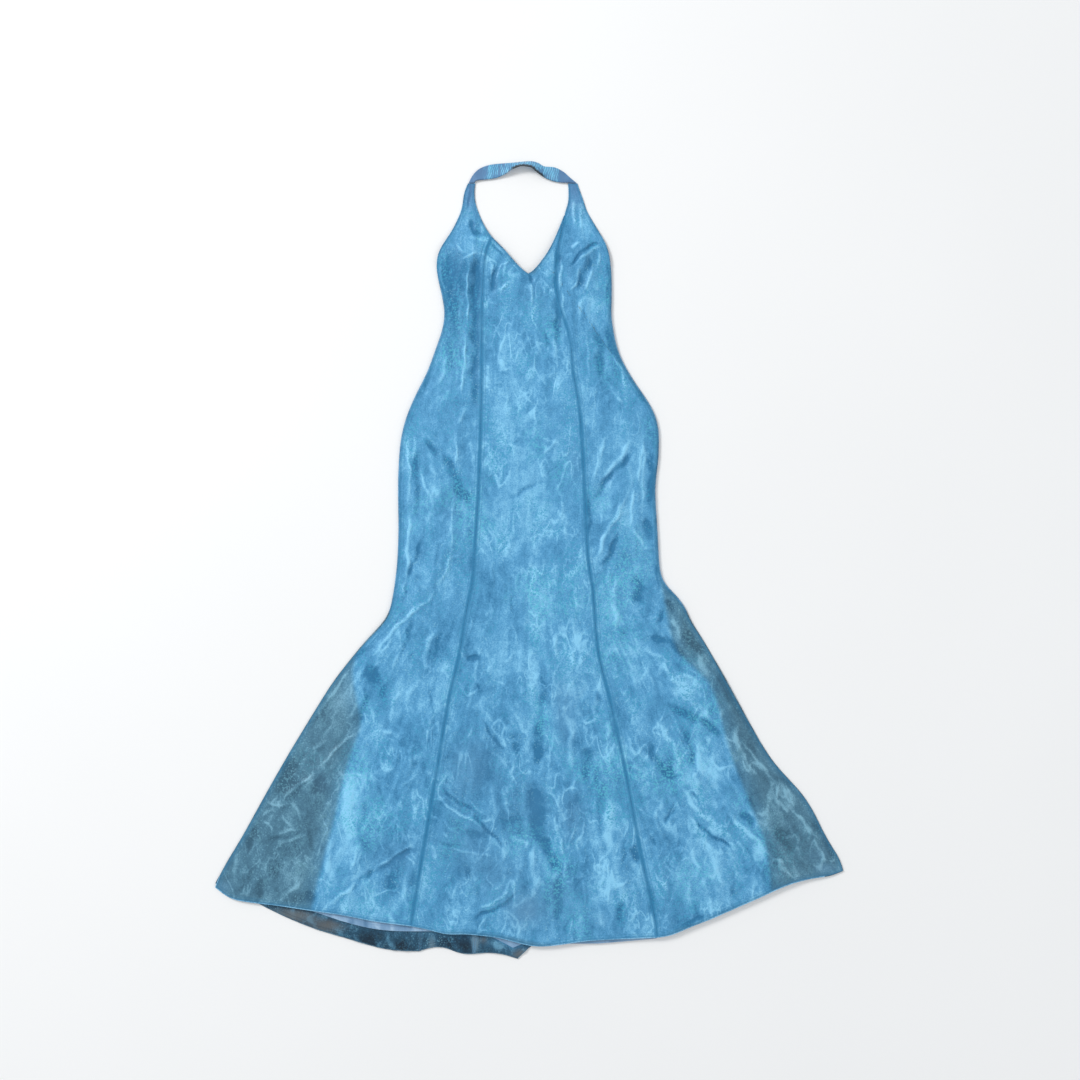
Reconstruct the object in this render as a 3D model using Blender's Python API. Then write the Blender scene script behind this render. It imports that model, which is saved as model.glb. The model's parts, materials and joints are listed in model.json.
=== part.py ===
"""Halter-neck mermaid prom dress laid flat on its back: glitter organza over a satin lining.

Sizes are in millimetres, with x across the dress, y up towards the neck and z up from the surface
that it lies on. The layers lie on each other: organza back, back lining, front lining, organza front.
"""

import math
from bisect import bisect_right
from collections import namedtuple

import bmesh
import bpy

MM = 0.001
DRESS = "prom_dress"

# Cloth
WALL = 1.2
GAP = 0.3
LAYER = WALL + GAP
BAND_WALL = 2.0
LINING_INSET = 2.0

# Heights down the dress
STRAP_TOP_Y = 715.0
SEAM_LEFT_TOP_Y = 612.0
SEAM_RIGHT_TOP_Y = 655.5
LINING_TOP_Y = 575.0
WAIST_Y = 464.0
BACK_JOIN_Y = 323.0
KNEE_Y = -28.0
HEM_MIDDLE_Y = -731.0

# Low back: height at the centre, and how much higher it is at the underarms
BACK_TOP_Y = 430.0
BACK_TOP_RISE = 130.0
BACK_TOP_HALF_WIDTH = 172.0

# Surface of the organza front
LOFT = 3.0
LOFT_EDGE = 60.0
STRAP_RAMP = (590.0, 655.0)
CORNER_DROP = (25.0, 75.0)

# Mesh spacing
STRAP_ROWS = 6
BODICE_ROWS = 7
SKIRT_ROWS = 44
HEM_ROWS = 6
SIDE_COLUMNS = 14
CENTRE_COLUMNS = 14
PLAIN_SKIRT_ROWS = 28
PLAIN_TOP_ROWS = 9
BACK_COLUMNS = 6
LINING_COLUMNS = 16
BAND_COLUMNS = 66
BAND_STRIPS = 3
SHARP_ANGLE = math.radians(50)

Edge = namedtuple("Edge", "y left right")
OUTLINE = (
    Edge(715, -115, 91),
    Edge(703, -122, 95),
    Edge(684, -124, 102),
    Edge(665, -127, 108),
    Edge(646, -135, 118),
    Edge(627, -144, 129),
    Edge(608, -156, 142),
    Edge(589, -169, 150),
    Edge(566, -175, 154),
    Edge(541, -173, 155),
    Edge(513, -165, 155),
    Edge(464, -157, 153),
    Edge(437, -161, 157),
    Edge(399, -175, 165),
    Edge(361, -188, 183),
    Edge(323, -207, 207),
    Edge(285, -225, 233),
    Edge(247, -237, 244),
    Edge(209, -243, 244),
    Edge(133, -246, 237),
    Edge(57, -245, 241),
    Edge(0, -247, 244),
    Edge(-38, -251, 248),
    Edge(-64, -255, 274),
    Edge(-88, -259, 293),
    Edge(-114, -270, 304),
    Edge(-152, -306, 329),
    Edge(-228, -368, 372),
    Edge(-304, -416, 414),
    Edge(-380, -462, 460),
    Edge(-456, -505, 526),
    Edge(-532, -547, 566),
    Edge(-583, -578, 595),
    Edge(-616, -595, 597),
)

NECKLINE = (
    Edge(715, -103, 75),
    Edge(703, -105, 76),
    Edge(684, -104, 76),
    Edge(665, -99, 71),
    Edge(646, -91, 65),
    Edge(627, -82, 57),
    Edge(608, -67, 49),
    Edge(589, -48, 40),
    Edge(570, -32, 27),
    Edge(551, -14, 12),
    Edge(540, 1, 1),
)
# Above these heights the neckline no longer leans outwards
NECK_LEFT_CLIMBS_TO = 700.0
NECK_RIGHT_CLIMBS_TO = 680.0

Seam = namedtuple("Seam", "y x")
SEAM_LEFT = (
    Seam(612, -71),
    Seam(589, -80),
    Seam(566, -85),
    Seam(538, -87),
    Seam(464, -89),
    Seam(323, -90),
    Seam(167, -94),
    Seam(28, -102),
    Seam(-28, -105),
    Seam(-99, -119),
    Seam(-179, -132),
    Seam(-255, -150),
    Seam(-390, -173),
    Seam(-502, -192),
    Seam(-627, -213),
    Seam(-700, -225),
)
SEAM_RIGHT = (
    Seam(656, 68),
    Seam(627, 63),
    Seam(591, 55),
    Seam(562, 51),
    Seam(532, 51),
    Seam(504, 53),
    Seam(465, 63),
    Seam(437, 74),
    Seam(409, 80),
    Seam(363, 83),
    Seam(306, 93),
    Seam(251, 99),
    Seam(139, 105),
    Seam(0, 112),
    Seam(-55, 121),
    Seam(-160, 129),
    Seam(-268, 154),
    Seam(-397, 182),
    Seam(-551, 211),
    Seam(-646, 232),
    Seam(-700, 243),
)

# Side edges of the lining, which leave the side seams at the knee
LINING_LEFT = (
    Seam(-76, -257),
    Seam(-130, -265),
    Seam(-198, -272),
    Seam(-304, -315),
    Seam(-408, -351),
    Seam(-507, -374),
    Seam(-591, -397),
    Seam(-659, -414),
)
LINING_RIGHT = (
    Seam(-38, 250),
    Seam(-100, 262),
    Seam(-163, 276),
    Seam(-239, 346),
    Seam(-357, 380),
    Seam(-477, 426),
    Seam(-542, 450),
    Seam(-618, 460),
)

BackSeams = namedtuple("BackSeams", "y left middle right")
BACK_SEAMS = (
    BackSeams(560, -92, -4, 76),
    BackSeams(430, -92, -6, 76),
    BackSeams(247, -122, -12, 100),
    BackSeams(-28, -138, -34, 82),
    BackSeams(-300, -165, -66, 70),
    BackSeams(-750, -209, -105, 60),
)

# Rows across the skirt bow downwards: how much higher each ends at the side edges
Bow = namedtuple("Bow", "y left right")
BOWS = (
    Bow(-28, 0, 0),
    Bow(-100, 10, 12),
    Bow(-171, 28, 34),
    Bow(-361, 63, 72),
    Bow(-551, 95, 118),
    Bow(-731, 116, 148),
)

Hem = namedtuple("Hem", "x y")
FRONT_HEM = (
    Hem(-598, -612),
    Hem(-592, -628),
    Hem(-580, -639),
    Hem(-534, -648),
    Hem(-464, -656),
    Hem(-416, -663),
    Hem(-352, -672),
    Hem(-293, -684),
    Hem(-245, -690),
    Hem(-198, -697),
    Hem(-160, -709),
    Hem(-141, -713),
    Hem(-116, -705),
    Hem(-84, -712),
    Hem(-32, -716),
    Hem(-20, -727),
    Hem(6, -732),
    Hem(62, -729),
    Hem(90, -722),
    Hem(201, -716),
    Hem(260, -713),
    Hem(306, -694),
    Hem(346, -679),
    Hem(391, -659),
    Hem(439, -638),
    Hem(496, -613),
    Hem(543, -602),
    Hem(585, -597),
    Hem(598, -588),
)
BACK_HEM = (
    Hem(-598, -606),
    Hem(-590, -624),
    Hem(-560, -636),
    Hem(-520, -646),
    Hem(-466, -676),
    Hem(-412, -700),
    Hem(-363, -710),
    Hem(-325, -724),
    Hem(-274, -741),
    Hem(-238, -754),
    Hem(-198, -738),
    Hem(-169, -733),
    Hem(-122, -748),
    Hem(-65, -744),
    Hem(-10, -758),
    Hem(8, -726),
    Hem(90, -712),
    Hem(260, -704),
    Hem(391, -650),
    Hem(496, -606),
    Hem(543, -592),
    Hem(598, -580),
)
LINING_FRONT_HEM = (
    Hem(-416, -664),
    Hem(-383, -678),
    Hem(-350, -686),
    Hem(-302, -700),
    Hem(-245, -705),
    Hem(-205, -704),
    Hem(-160, -704),
    Hem(-50, -711),
    Hem(-28, -716),
    Hem(-20, -734),
    Hem(-4, -734),
    Hem(4, -728),
    Hem(68, -726),
    Hem(90, -731),
    Hem(145, -726),
    Hem(240, -718),
    Hem(262, -708),
    Hem(346, -676),
    Hem(460, -626),
)
LINING_BACK_HEM = (
    Hem(-416, -650),
    Hem(-300, -676),
    Hem(-160, -698),
    Hem(-84, -706),
    Hem(-74, -738),
    Hem(-30, -736),
    Hem(-20, -716),
    Hem(100, -708),
    Hem(260, -698),
    Hem(346, -668),
    Hem(460, -616),
)

# Largest folds: ridges are positive, troughs negative
Fold = namedtuple("Fold", "x0 y0 x1 y1 bend width height")
FOLD_FADE = 0.25
FOLDS = (
    Fold(-116, 574, -126, 350, 0, 26, 3.0),
    Fold(-127, 350, -142, 84, 3, 30, 3.4),
    Fold(-142, 100, -232, -100, -22, 32, 3.6),
    Fold(-118, 560, -80, 560, -34, 22, 4.5),
    Fold(-97, 570, -97, 500, 0, 30, -5.0),
    Fold(-95, 636, -84, 600, 4, 26, -3.0),
    Fold(-236, 250, -244, -60, 0, 22, 2.4),
    Fold(146, 612, 78, 556, 10, 22, -5.0),
    Fold(140, 590, 76, 536, 10, 26, 4.5),
    Fold(112, 566, 94, 522, 0, 30, -4.5),
    Fold(74, 524, 88, 395, 0, 20, 3.0),
    Fold(210, 228, 202, 0, 0, 26, 3.0),
    Fold(170, 190, 116, 95, 0, 34, -2.6),
    Fold(186, 160, 130, 10, 0, 34, 3.0),
    Fold(250, -70, 300, -150, 0, 36, -3.0),
    Fold(45, -150, 50, -400, 6, 34, 4.5),
    Fold(92, -140, 84, -395, 4, 36, 4.0),
    Fold(26, -190, 14, -505, 6, 40, -3.0),
    Fold(14, -490, 46, -700, 0, 44, -3.0),
    Fold(-20, -560, -10, -725, 4, 44, 5.0),
    Fold(-161, -443, -46, -545, 4, 30, -3.0),
    Fold(-150, -425, -40, -520, 4, 34, 4.0),
    Fold(-175, -541, -53, -568, 0, 30, 3.6),
    Fold(-116, -690, -13, -618, 0, 30, 4.5),
    Fold(-338, -612, -205, -538, 0, 36, -3.0),
    Fold(-405, -668, -280, -600, 0, 34, 4.0),
    Fold(-467, -462, -338, -348, 0, 34, 4.5),
    Fold(-512, -545, -418, -505, 0, 34, 4.0),
    Fold(-430, -560, -440, -650, 0, 44, 4.5),
    Fold(-300, -380, -330, -640, 6, 60, 4.0),
    Fold(-170, -250, -262, -480, 0, 44, 3.6),
    Fold(-540, -560, -556, -640, 0, 40, 3.5),
    Fold(290, -455, 330, -385, 0, 30, 4.0),
    Fold(302, -485, 393, -553, 0, 30, -3.0),
    Fold(318, -470, 410, -540, 0, 34, 4.5),
    Fold(355, -495, 405, -415, 0, 30, 4.0),
    Fold(215, -320, 285, -425, 0, 46, -3.0),
    Fold(240, -170, 330, -300, 8, 50, 4.0),
    Fold(380, -314, 467, -410, 0, 34, 4.0),
    Fold(467, -400, 500, -500, 4, 34, 4.0),
    Fold(496, -479, 580, -585, 0, 34, 4.5),
    Fold(160, -560, 166, -705, 0, 34, 4.5),
    Fold(230, -540, 262, -705, 0, 50, 4.0),
    Fold(330, -560, 360, -668, 0, 46, 4.0),
)

# Soft swells of the cups and of the hollow skirt
Swell = namedtuple("Swell", "x y half_width half_length height")
SWELLS = (
    Swell(-128, 560, 46, 70, 7.0),
    Swell(108, 575, 50, 76, 8.0),
    Swell(-40, 250, 150, 260, 2.5),
    Swell(120, 60, 120, 240, 2.0),
    Swell(-200, -420, 170, 260, 3.0),
    Swell(180, -460, 200, 280, 3.5),
)

Band = namedtuple("Band", "upper_x upper_y lower_x lower_y lift")
NECK_BAND = (
    Band(-114.6, 715.4, -103.4, 715.4, 0.0),
    Band(-110, 725, -101, 719, 1.5),
    Band(-104, 734, -95, 721, 2.0),
    Band(-92, 744, -83, 722, 1.0),
    Band(-70, 751, -66, 724, 1.0),
    Band(-48, 753, -46, 731, 4.0),
    Band(-32, 754, -31, 740, 9.0),
    Band(-14, 756, -13, 745, 12.0),
    Band(4, 757, 3, 743, 12.0),
    Band(17, 754, 15, 734, 9.0),
    Band(30, 747, 32, 724, 3.0),
    Band(46, 746, 50, 718, 1.0),
    Band(64, 738, 66, 716, 1.5),
    Band(78, 726, 74, 716, 2.0),
    Band(90.8, 715.4, 75.2, 715.4, 0.0),
)
GATHER_PITCH = 7.0
GATHER_HEIGHT = 1.6
GATHER_FROM = -52.0
GATHER_TO = 36.0
GATHER_FADE = 20.0

ORGANZA = ((0.10, 0.38, 0.66), 0.42, 0.0)
ORGANZA_BACK = ((0.03, 0.13, 0.20), 0.45, 0.0)
SATIN = ((0.30, 0.48, 0.72), 0.35, 0.0)
BAND_ORGANZA = ((0.13, 0.28, 0.52), 0.45, 0.0)


def clear_scene():
    """Remove the objects that the scene starts with."""
    for thing in list(bpy.data.objects):
        bpy.data.objects.remove(thing, do_unlink=True)


def lerp(a, b, share):
    return a + (b - a) * share


def smooth(value, low, high):
    """0 below low, 1 above high, and a smooth step between them."""
    share = min(max((value - low) / (high - low), 0.0), 1.0)
    return share * share * (3.0 - 2.0 * share)


def curve(points):
    """Smooth curve through points that never overshoots them, as a function of the first number."""
    points = sorted(points)
    keys = [key for key, _ in points]
    values = [value for _, value in points]
    steps = [b - a for a, b in zip(keys, keys[1:])]
    rates = [(b - a) / step for a, b, step in zip(values, values[1:], steps)]
    slopes = [rates[0]]
    for before, after in zip(rates, rates[1:]):
        level = before * after <= 0.0
        slopes.append(0.0 if level else 2.0 * before * after / (before + after))
    slopes.append(rates[-1])

    def reading(key):
        place = min(max(bisect_right(keys, key) - 1, 0), len(steps) - 1)
        step = steps[place]
        t = min(max((key - keys[place]) / step, 0.0), 1.0)
        start = (1.0 + 2.0 * t) * (1.0 - t) ** 2 * values[place]
        start += t * (1.0 - t) ** 2 * step * slopes[place]
        end = t * t * (3.0 - 2.0 * t) * values[place + 1]
        end += t * t * (t - 1.0) * step * slopes[place + 1]
        return start + end

    return reading


def column(table, key, value):
    """Smooth curve of one named column of a table against another."""
    return curve([(getattr(row, key), getattr(row, value)) for row in table])


edge_left = column(OUTLINE, "y", "left")
edge_right = column(OUTLINE, "y", "right")
neck_left = column(NECKLINE, "y", "left")
neck_right = column(NECKLINE, "y", "right")
neck_falling = curve([(row.left, row.y) for row in NECKLINE if row.y < NECK_LEFT_CLIMBS_TO])
neck_climbing = curve([(row.right, row.y) for row in NECKLINE if row.y < NECK_RIGHT_CLIMBS_TO])
seam_left = column(SEAM_LEFT, "y", "x")
seam_right = column(SEAM_RIGHT, "y", "x")
lining_low_left = column(LINING_LEFT, "y", "x")
lining_low_right = column(LINING_RIGHT, "y", "x")
bow_left = column(BOWS, "y", "left")
bow_right = column(BOWS, "y", "right")
back_seam_left = column(BACK_SEAMS, "y", "left")
back_seam_middle = column(BACK_SEAMS, "y", "middle")
back_seam_right = column(BACK_SEAMS, "y", "right")
front_hem = column(FRONT_HEM, "x", "y")
back_hem = column(BACK_HEM, "x", "y")
lining_front_hem = column(LINING_FRONT_HEM, "x", "y")
lining_back_hem = column(LINING_BACK_HEM, "x", "y")


def neck_height(x):
    """Height of the V neckline at x."""
    return neck_falling(x) if x < NECKLINE[-1].left else neck_climbing(x)


def lining_left(y):
    return (edge_left(y) if y > LINING_LEFT[0].y else lining_low_left(y)) + LINING_INSET


def lining_right(y):
    return (edge_right(y) if y > LINING_RIGHT[0].y else lining_low_right(y)) - LINING_INSET


def beside(line, offset):
    """The same line down the dress, moved sideways."""
    return lambda y: line(y) + offset


def meet(line, row):
    """Point where a line down the dress meets a row across it."""
    y = row(0.0)
    for _ in range(20):
        y = row(line(y))
    return line(y), y


def across(row, start, end, columns):
    """Points along a row, between two lines down the dress."""
    x0, _ = meet(start, row)
    x1, _ = meet(end, row)
    places = [lerp(x0, x1, step / columns) for step in range(columns + 1)]
    return [(x, row(x)) for x in places]


def bowed(middle):
    """Row across the skirt, lower in the middle than at the side edges."""
    rise_left = bow_left(middle)
    rise_right = bow_right(middle)

    def row(x):
        rise = rise_left if x < 0.0 else rise_right
        reach = edge_left(middle + rise) if x < 0.0 else edge_right(middle + rise)
        return middle + rise * (x / reach) ** 2

    return row


def hemmed(row, hem, share):
    """A row near the hem that has taken up part of the hem's own shape."""
    last = bowed(HEM_MIDDLE_Y)
    return lambda x: row(x) + share * (hem(x) - last(x))


def skirt(top, count, hem):
    """Rows below a height, the last of them the hem itself."""
    rows = []
    for step in range(1, count + 1):
        row = bowed(lerp(top, HEM_MIDDLE_Y, step / count))
        share = max(0.0, 1.0 - (count - step) / HEM_ROWS)
        rows.append(hemmed(row, hem, share) if share else row)
    return rows


def fold_height(fold, x, y):
    """Height that one fold adds at a point."""
    along_x = fold.x1 - fold.x0
    along_y = fold.y1 - fold.y0
    length = math.hypot(along_x, along_y)
    t = ((x - fold.x0) * along_x + (y - fold.y0) * along_y) / length ** 2
    if not 0.0 < t < 1.0:
        return 0.0
    aside = ((x - fold.x0) * along_y - (y - fold.y0) * along_x) / length
    aside -= 4.0 * fold.bend * t * (1.0 - t)
    if abs(aside) >= fold.width / 2.0:
        return 0.0
    ends = smooth(min(t, 1.0 - t), 0.0, FOLD_FADE)
    return fold.height * ends * math.cos(math.pi * aside / fold.width) ** 2


def swell_height(swell, x, y):
    """Height that one soft swell adds at a point."""
    away = math.hypot((x - swell.x) / swell.half_width, (y - swell.y) / swell.half_length)
    return swell.height * (1.0 - smooth(away, 0.0, 1.0))


def front_height(x, y):
    """Underside of the organza front: what it lies on, then its own loft and folds."""
    outside = max(lining_left(y) - x, x - lining_right(y)) if y < KNEE_Y else 0.0
    base = lerp(3.0 * LAYER, LAYER, smooth(outside, *CORNER_DROP))
    lies_low = 1.0 - smooth(y, *STRAP_RAMP)
    base *= lies_low
    inside = min(x - edge_left(y), edge_right(y) - x)
    share = smooth(inside, 0.0, LOFT_EDGE)
    relief = LOFT * lies_low
    relief += sum(swell_height(swell, x, y) for swell in SWELLS)
    relief += sum(fold_height(fold, x, y) for fold in FOLDS)
    return base + max(relief * share, 0.0)


def back_top(x):
    return BACK_TOP_Y + BACK_TOP_RISE * (x / BACK_TOP_HALF_WIDTH) ** 2


def lining_front_top(x):
    return min(LINING_TOP_Y, neck_height(x) - 3.0 * LINING_INSET)


def lining_back_top(x):
    return back_top(x) - 2.0 * LINING_INSET


def plain_rows(top, join, hem):
    """Rows of a flat piece: from its shaped top edge to a level row, then down the skirt."""
    rows = []
    for step in range(PLAIN_TOP_ROWS + 1):
        share = step / PLAIN_TOP_ROWS
        rows.append(lambda x, share=share: lerp(top(x), join, share))
    return rows + skirt(join, PLAIN_SKIRT_ROWS, hem)


def side_front_rows(side):
    """Points of a side front, from the top of its strap to the hem corner."""
    if side == "left":
        outer, neck, seam_top = edge_left, neck_left, SEAM_LEFT_TOP_Y
        seam = beside(seam_left, -GAP / 2.0)
    else:
        outer, neck, seam_top = edge_right, neck_right, SEAM_RIGHT_TOP_Y
        seam = beside(seam_right, GAP / 2.0)
    grid = []
    for step in range(STRAP_ROWS):
        y = lerp(STRAP_TOP_Y, seam_top, step / STRAP_ROWS)
        grid.append((outer(y), neck(y), y))
    for step in range(BODICE_ROWS + 1):
        y = lerp(seam_top, WAIST_Y, step / BODICE_ROWS)
        grid.append((outer(y), seam(y), y))
    shares = [step / SIDE_COLUMNS for step in range(SIDE_COLUMNS + 1)]
    grid = [[(lerp(start, end, share), y) for share in shares] for start, end, y in grid]
    for row in skirt(WAIST_Y, SKIRT_ROWS, front_hem):
        grid.append(across(row, outer, seam, SIDE_COLUMNS))
    if side == "right":
        grid = [list(reversed(points)) for points in grid]
    return grid


def centre_front_rows():
    """Points of the centre front, from the V neckline to the hem."""
    start = beside(seam_left, GAP / 2.0)
    end = beside(seam_right, -GAP / 2.0)
    shares = [step / CENTRE_COLUMNS for step in range(CENTRE_COLUMNS + 1)]
    tops = [neck_height(lerp(start(SEAM_LEFT_TOP_Y), end(SEAM_RIGHT_TOP_Y), share)) for share in shares]
    tops[0] = SEAM_LEFT_TOP_Y
    tops[-1] = SEAM_RIGHT_TOP_Y
    grid = []
    for step in range(BODICE_ROWS + 1):
        down = step / BODICE_ROWS
        x0 = start(lerp(SEAM_LEFT_TOP_Y, WAIST_Y, down))
        x1 = end(lerp(SEAM_RIGHT_TOP_Y, WAIST_Y, down))
        grid.append([(lerp(x0, x1, share), lerp(top, WAIST_Y, down)) for share, top in zip(shares, tops)])
    for row in skirt(WAIST_Y, SKIRT_ROWS, front_hem):
        grid.append(across(row, start, end, CENTRE_COLUMNS))
    return grid


def neck_band_rows():
    """Points of the neck band from strap to strap, with the elastic gathers as small ridges."""
    fields = [curve([(step, row[field]) for step, row in enumerate(NECK_BAND)]) for field in range(5)]
    grid = []
    for step in range(BAND_COLUMNS + 1):
        place = step / BAND_COLUMNS * (len(NECK_BAND) - 1)
        upper_x, upper_y, lower_x, lower_y, lift = [field(place) for field in fields]
        x = (upper_x + lower_x) / 2.0
        gathered = smooth(x, GATHER_FROM, GATHER_FROM + GATHER_FADE)
        gathered *= 1.0 - smooth(x, GATHER_TO - GATHER_FADE, GATHER_TO)
        ridge = GATHER_HEIGHT * gathered * math.sin(math.pi * x / GATHER_PITCH) ** 2
        points = []
        for strip in range(BAND_STRIPS + 1):
            share = strip / BAND_STRIPS
            height = lift * share + ridge
            points.append((lerp(upper_x, lower_x, share), lerp(upper_y, lower_y, share), height))
        grid.append(points)
    return grid


def material(name, finish):
    colour, roughness, metallic = finish
    made = bpy.data.materials.new(name)
    made.use_nodes = True
    shader = made.node_tree.nodes["Principled BSDF"]
    shader.inputs["Base Color"].default_value = (*colour, 1.0)
    shader.inputs["Roughness"].default_value = roughness
    shader.inputs["Metallic"].default_value = metallic
    made.diffuse_color = (*colour, 1.0)
    return made


def cloth(collection, name, grid, finish, thickness=WALL):
    """A wall of cloth: a surface through the rows of points, extruded straight up to its thickness."""
    mesh = bpy.data.meshes.new(name)
    shape = bmesh.new()
    rows = [[shape.verts.new([size * MM for size in point]) for point in points] for points in grid]
    for upper, lower in zip(rows, rows[1:]):
        for place in range(len(upper) - 1):
            shape.faces.new((upper[place], lower[place], lower[place + 1], upper[place + 1]))
    bmesh.ops.triangulate(shape, faces=shape.faces[:], quad_method="FIXED")
    surface = shape.faces[:] + shape.edges[:] + shape.verts[:]
    made = bmesh.ops.extrude_face_region(shape, geom=surface, use_keep_orig=True)
    raised = [part for part in made["geom"] if isinstance(part, bmesh.types.BMVert)]
    bmesh.ops.translate(shape, verts=raised, vec=(0.0, 0.0, thickness * MM))
    bmesh.ops.recalc_face_normals(shape, faces=shape.faces[:])
    shape.to_mesh(mesh)
    shape.free()
    mesh.shade_smooth()
    mesh.set_sharp_from_angle(angle=SHARP_ANGLE)
    mesh.materials.append(material(name, finish))
    collection.objects.link(bpy.data.objects.new(name, mesh))


def flat(grid, height):
    """The points of a piece that lies flat at one height."""
    return [[(x, y, height) for x, y in points] for points in grid]


def shaped(grid):
    """The points of an organza front piece, on the shared surface of the front."""
    return [[(x, y, front_height(x, y)) for x, y in points] for points in grid]


def build_back(collection):
    """Four organza back panels, flat on the surface, with the centre-back seam between them."""
    lines = (edge_left, back_seam_left, back_seam_middle, back_seam_right, edge_right)
    names = ("side_back_left", "back_left", "back_right", "side_back_right")
    rows = plain_rows(back_top, BACK_JOIN_Y, back_hem)
    for place, name in enumerate(names):
        start = beside(lines[place], GAP / 2.0 if place else 0.0)
        end = beside(lines[place + 1], -GAP / 2.0 if place < len(names) - 1 else 0.0)
        grid = [across(row, start, end, BACK_COLUMNS) for row in rows]
        cloth(collection, name, flat(grid, 0.0), ORGANZA_BACK)


def build_linings(collection):
    """The satin lining, front and back, which stops short of the flare's corners."""
    rows = plain_rows(lining_back_top, BACK_JOIN_Y, lining_back_hem)
    grid = [across(row, lining_left, lining_right, LINING_COLUMNS) for row in rows]
    cloth(collection, "lining_back", flat(grid, LAYER), SATIN)
    rows = plain_rows(lining_front_top, BACK_JOIN_Y, lining_front_hem)
    grid = [across(row, lining_left, lining_right, LINING_COLUMNS) for row in rows]
    cloth(collection, "lining_front", flat(grid, 2.0 * LAYER), SATIN)


def build_front(collection):
    """The three organza panels of the front, which meet at the princess seams."""
    cloth(collection, "centre_front", shaped(centre_front_rows()), ORGANZA)
    cloth(collection, "side_front_left", shaped(side_front_rows("left")), ORGANZA)
    cloth(collection, "side_front_right", shaped(side_front_rows("right")), ORGANZA)


def build_neck_band(collection):
    """The band behind the neck, flat at its sides and gathered by elastic in the middle."""
    cloth(collection, "neck_band", neck_band_rows(), BAND_ORGANZA, BAND_WALL)


def main():
    clear_scene()
    collection = bpy.data.collections.new(DRESS)
    bpy.context.scene.collection.children.link(collection)
    build_back(collection)
    build_linings(collection)
    build_front(collection)
    build_neck_band(collection)


main()
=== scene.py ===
"""Looks of a halter-neck prom dress laid flat: crinkled glitter organza over a pale satin lining.

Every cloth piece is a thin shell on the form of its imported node. Sizes in the tables are in
millimetres, with x across the dress and y up towards the neck. Everything else is in metres.
"""

from __future__ import annotations

import json
import logging
import math
import random
from dataclasses import dataclass, field
from enum import Enum
from typing import Iterable, NamedTuple, Sequence

import bmesh
import bpy
import numpy as np
from mathutils import Matrix, Vector, noise
from mathutils.bvhtree import BVHTree

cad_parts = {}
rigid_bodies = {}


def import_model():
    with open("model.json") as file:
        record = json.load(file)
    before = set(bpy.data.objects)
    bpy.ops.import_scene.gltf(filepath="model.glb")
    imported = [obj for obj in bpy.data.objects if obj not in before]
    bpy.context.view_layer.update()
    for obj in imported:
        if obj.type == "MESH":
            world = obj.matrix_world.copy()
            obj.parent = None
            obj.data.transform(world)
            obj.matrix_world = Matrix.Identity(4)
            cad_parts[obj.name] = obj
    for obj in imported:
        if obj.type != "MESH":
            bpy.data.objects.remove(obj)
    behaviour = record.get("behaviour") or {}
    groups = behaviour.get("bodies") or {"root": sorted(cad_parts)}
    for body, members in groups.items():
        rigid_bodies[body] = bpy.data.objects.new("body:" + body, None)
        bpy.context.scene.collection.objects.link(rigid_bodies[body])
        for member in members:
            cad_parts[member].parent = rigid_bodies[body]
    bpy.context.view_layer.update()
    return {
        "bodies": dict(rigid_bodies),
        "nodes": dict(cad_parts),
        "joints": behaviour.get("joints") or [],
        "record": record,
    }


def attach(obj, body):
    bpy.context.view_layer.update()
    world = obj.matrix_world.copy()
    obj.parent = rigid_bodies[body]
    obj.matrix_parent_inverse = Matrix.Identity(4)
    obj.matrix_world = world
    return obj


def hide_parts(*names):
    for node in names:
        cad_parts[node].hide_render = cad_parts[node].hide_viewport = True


MM = 0.001
BODY = "root"
FRONTS = ("side_front_left", "centre_front", "side_front_right")
BACKS = ("side_back_left", "back_left", "back_right", "side_back_right")
# Corners closer than this, in metres, are one corner.
WELD = 1e-5
# A node's face belongs to its upper side where its normal rises more than this.
UPPER = 0.05
# A triangle with less area than this share of its longest side squared counts as flat.
FLAT_SHARE = 0.012
# A crease this high or deep, in millimetres, has its full tone: the strongest painted highlight on a
# ridge, the strongest painted shade in a trough.
FULL_TONE = 2.0
TONE_LIMIT = 1.3
# Distance in millimetres that stands for far away from an edge.
FAR = 50.0
LOG = logging.getLogger("prom_dress")

Colour = tuple[float, float, float]
Socket = bpy.types.NodeSocket
Value = object


def srgb(red: int, green: int, blue: int) -> Colour:
    """Linear colour of the three display values from 0 to 255.

    Args:
        red: Red as shown on a display.
        green: Green as shown on a display.
        blue: Blue as shown on a display.

    Returns:
        The colour in linear light.
    """
    shares = (value / 255.0 for value in (red, green, blue))
    return tuple(s / 12.92 if s <= 0.04045 else ((s + 0.055) / 1.055) ** 2.4 for s in shares)


def smooth_step(value: np.ndarray, low: float, high: float) -> np.ndarray:
    """Smooth step from 0 at low to 1 at high.

    Args:
        value: Values to read the step at.
        low: Where the step starts.
        high: Where it ends.

    Returns:
        The step for each value.
    """
    share = np.clip((value - low) / (high - low), 0.0, 1.0)
    return share * share * (3.0 - 2.0 * share)


# Creases and patches of the cloth


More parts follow.
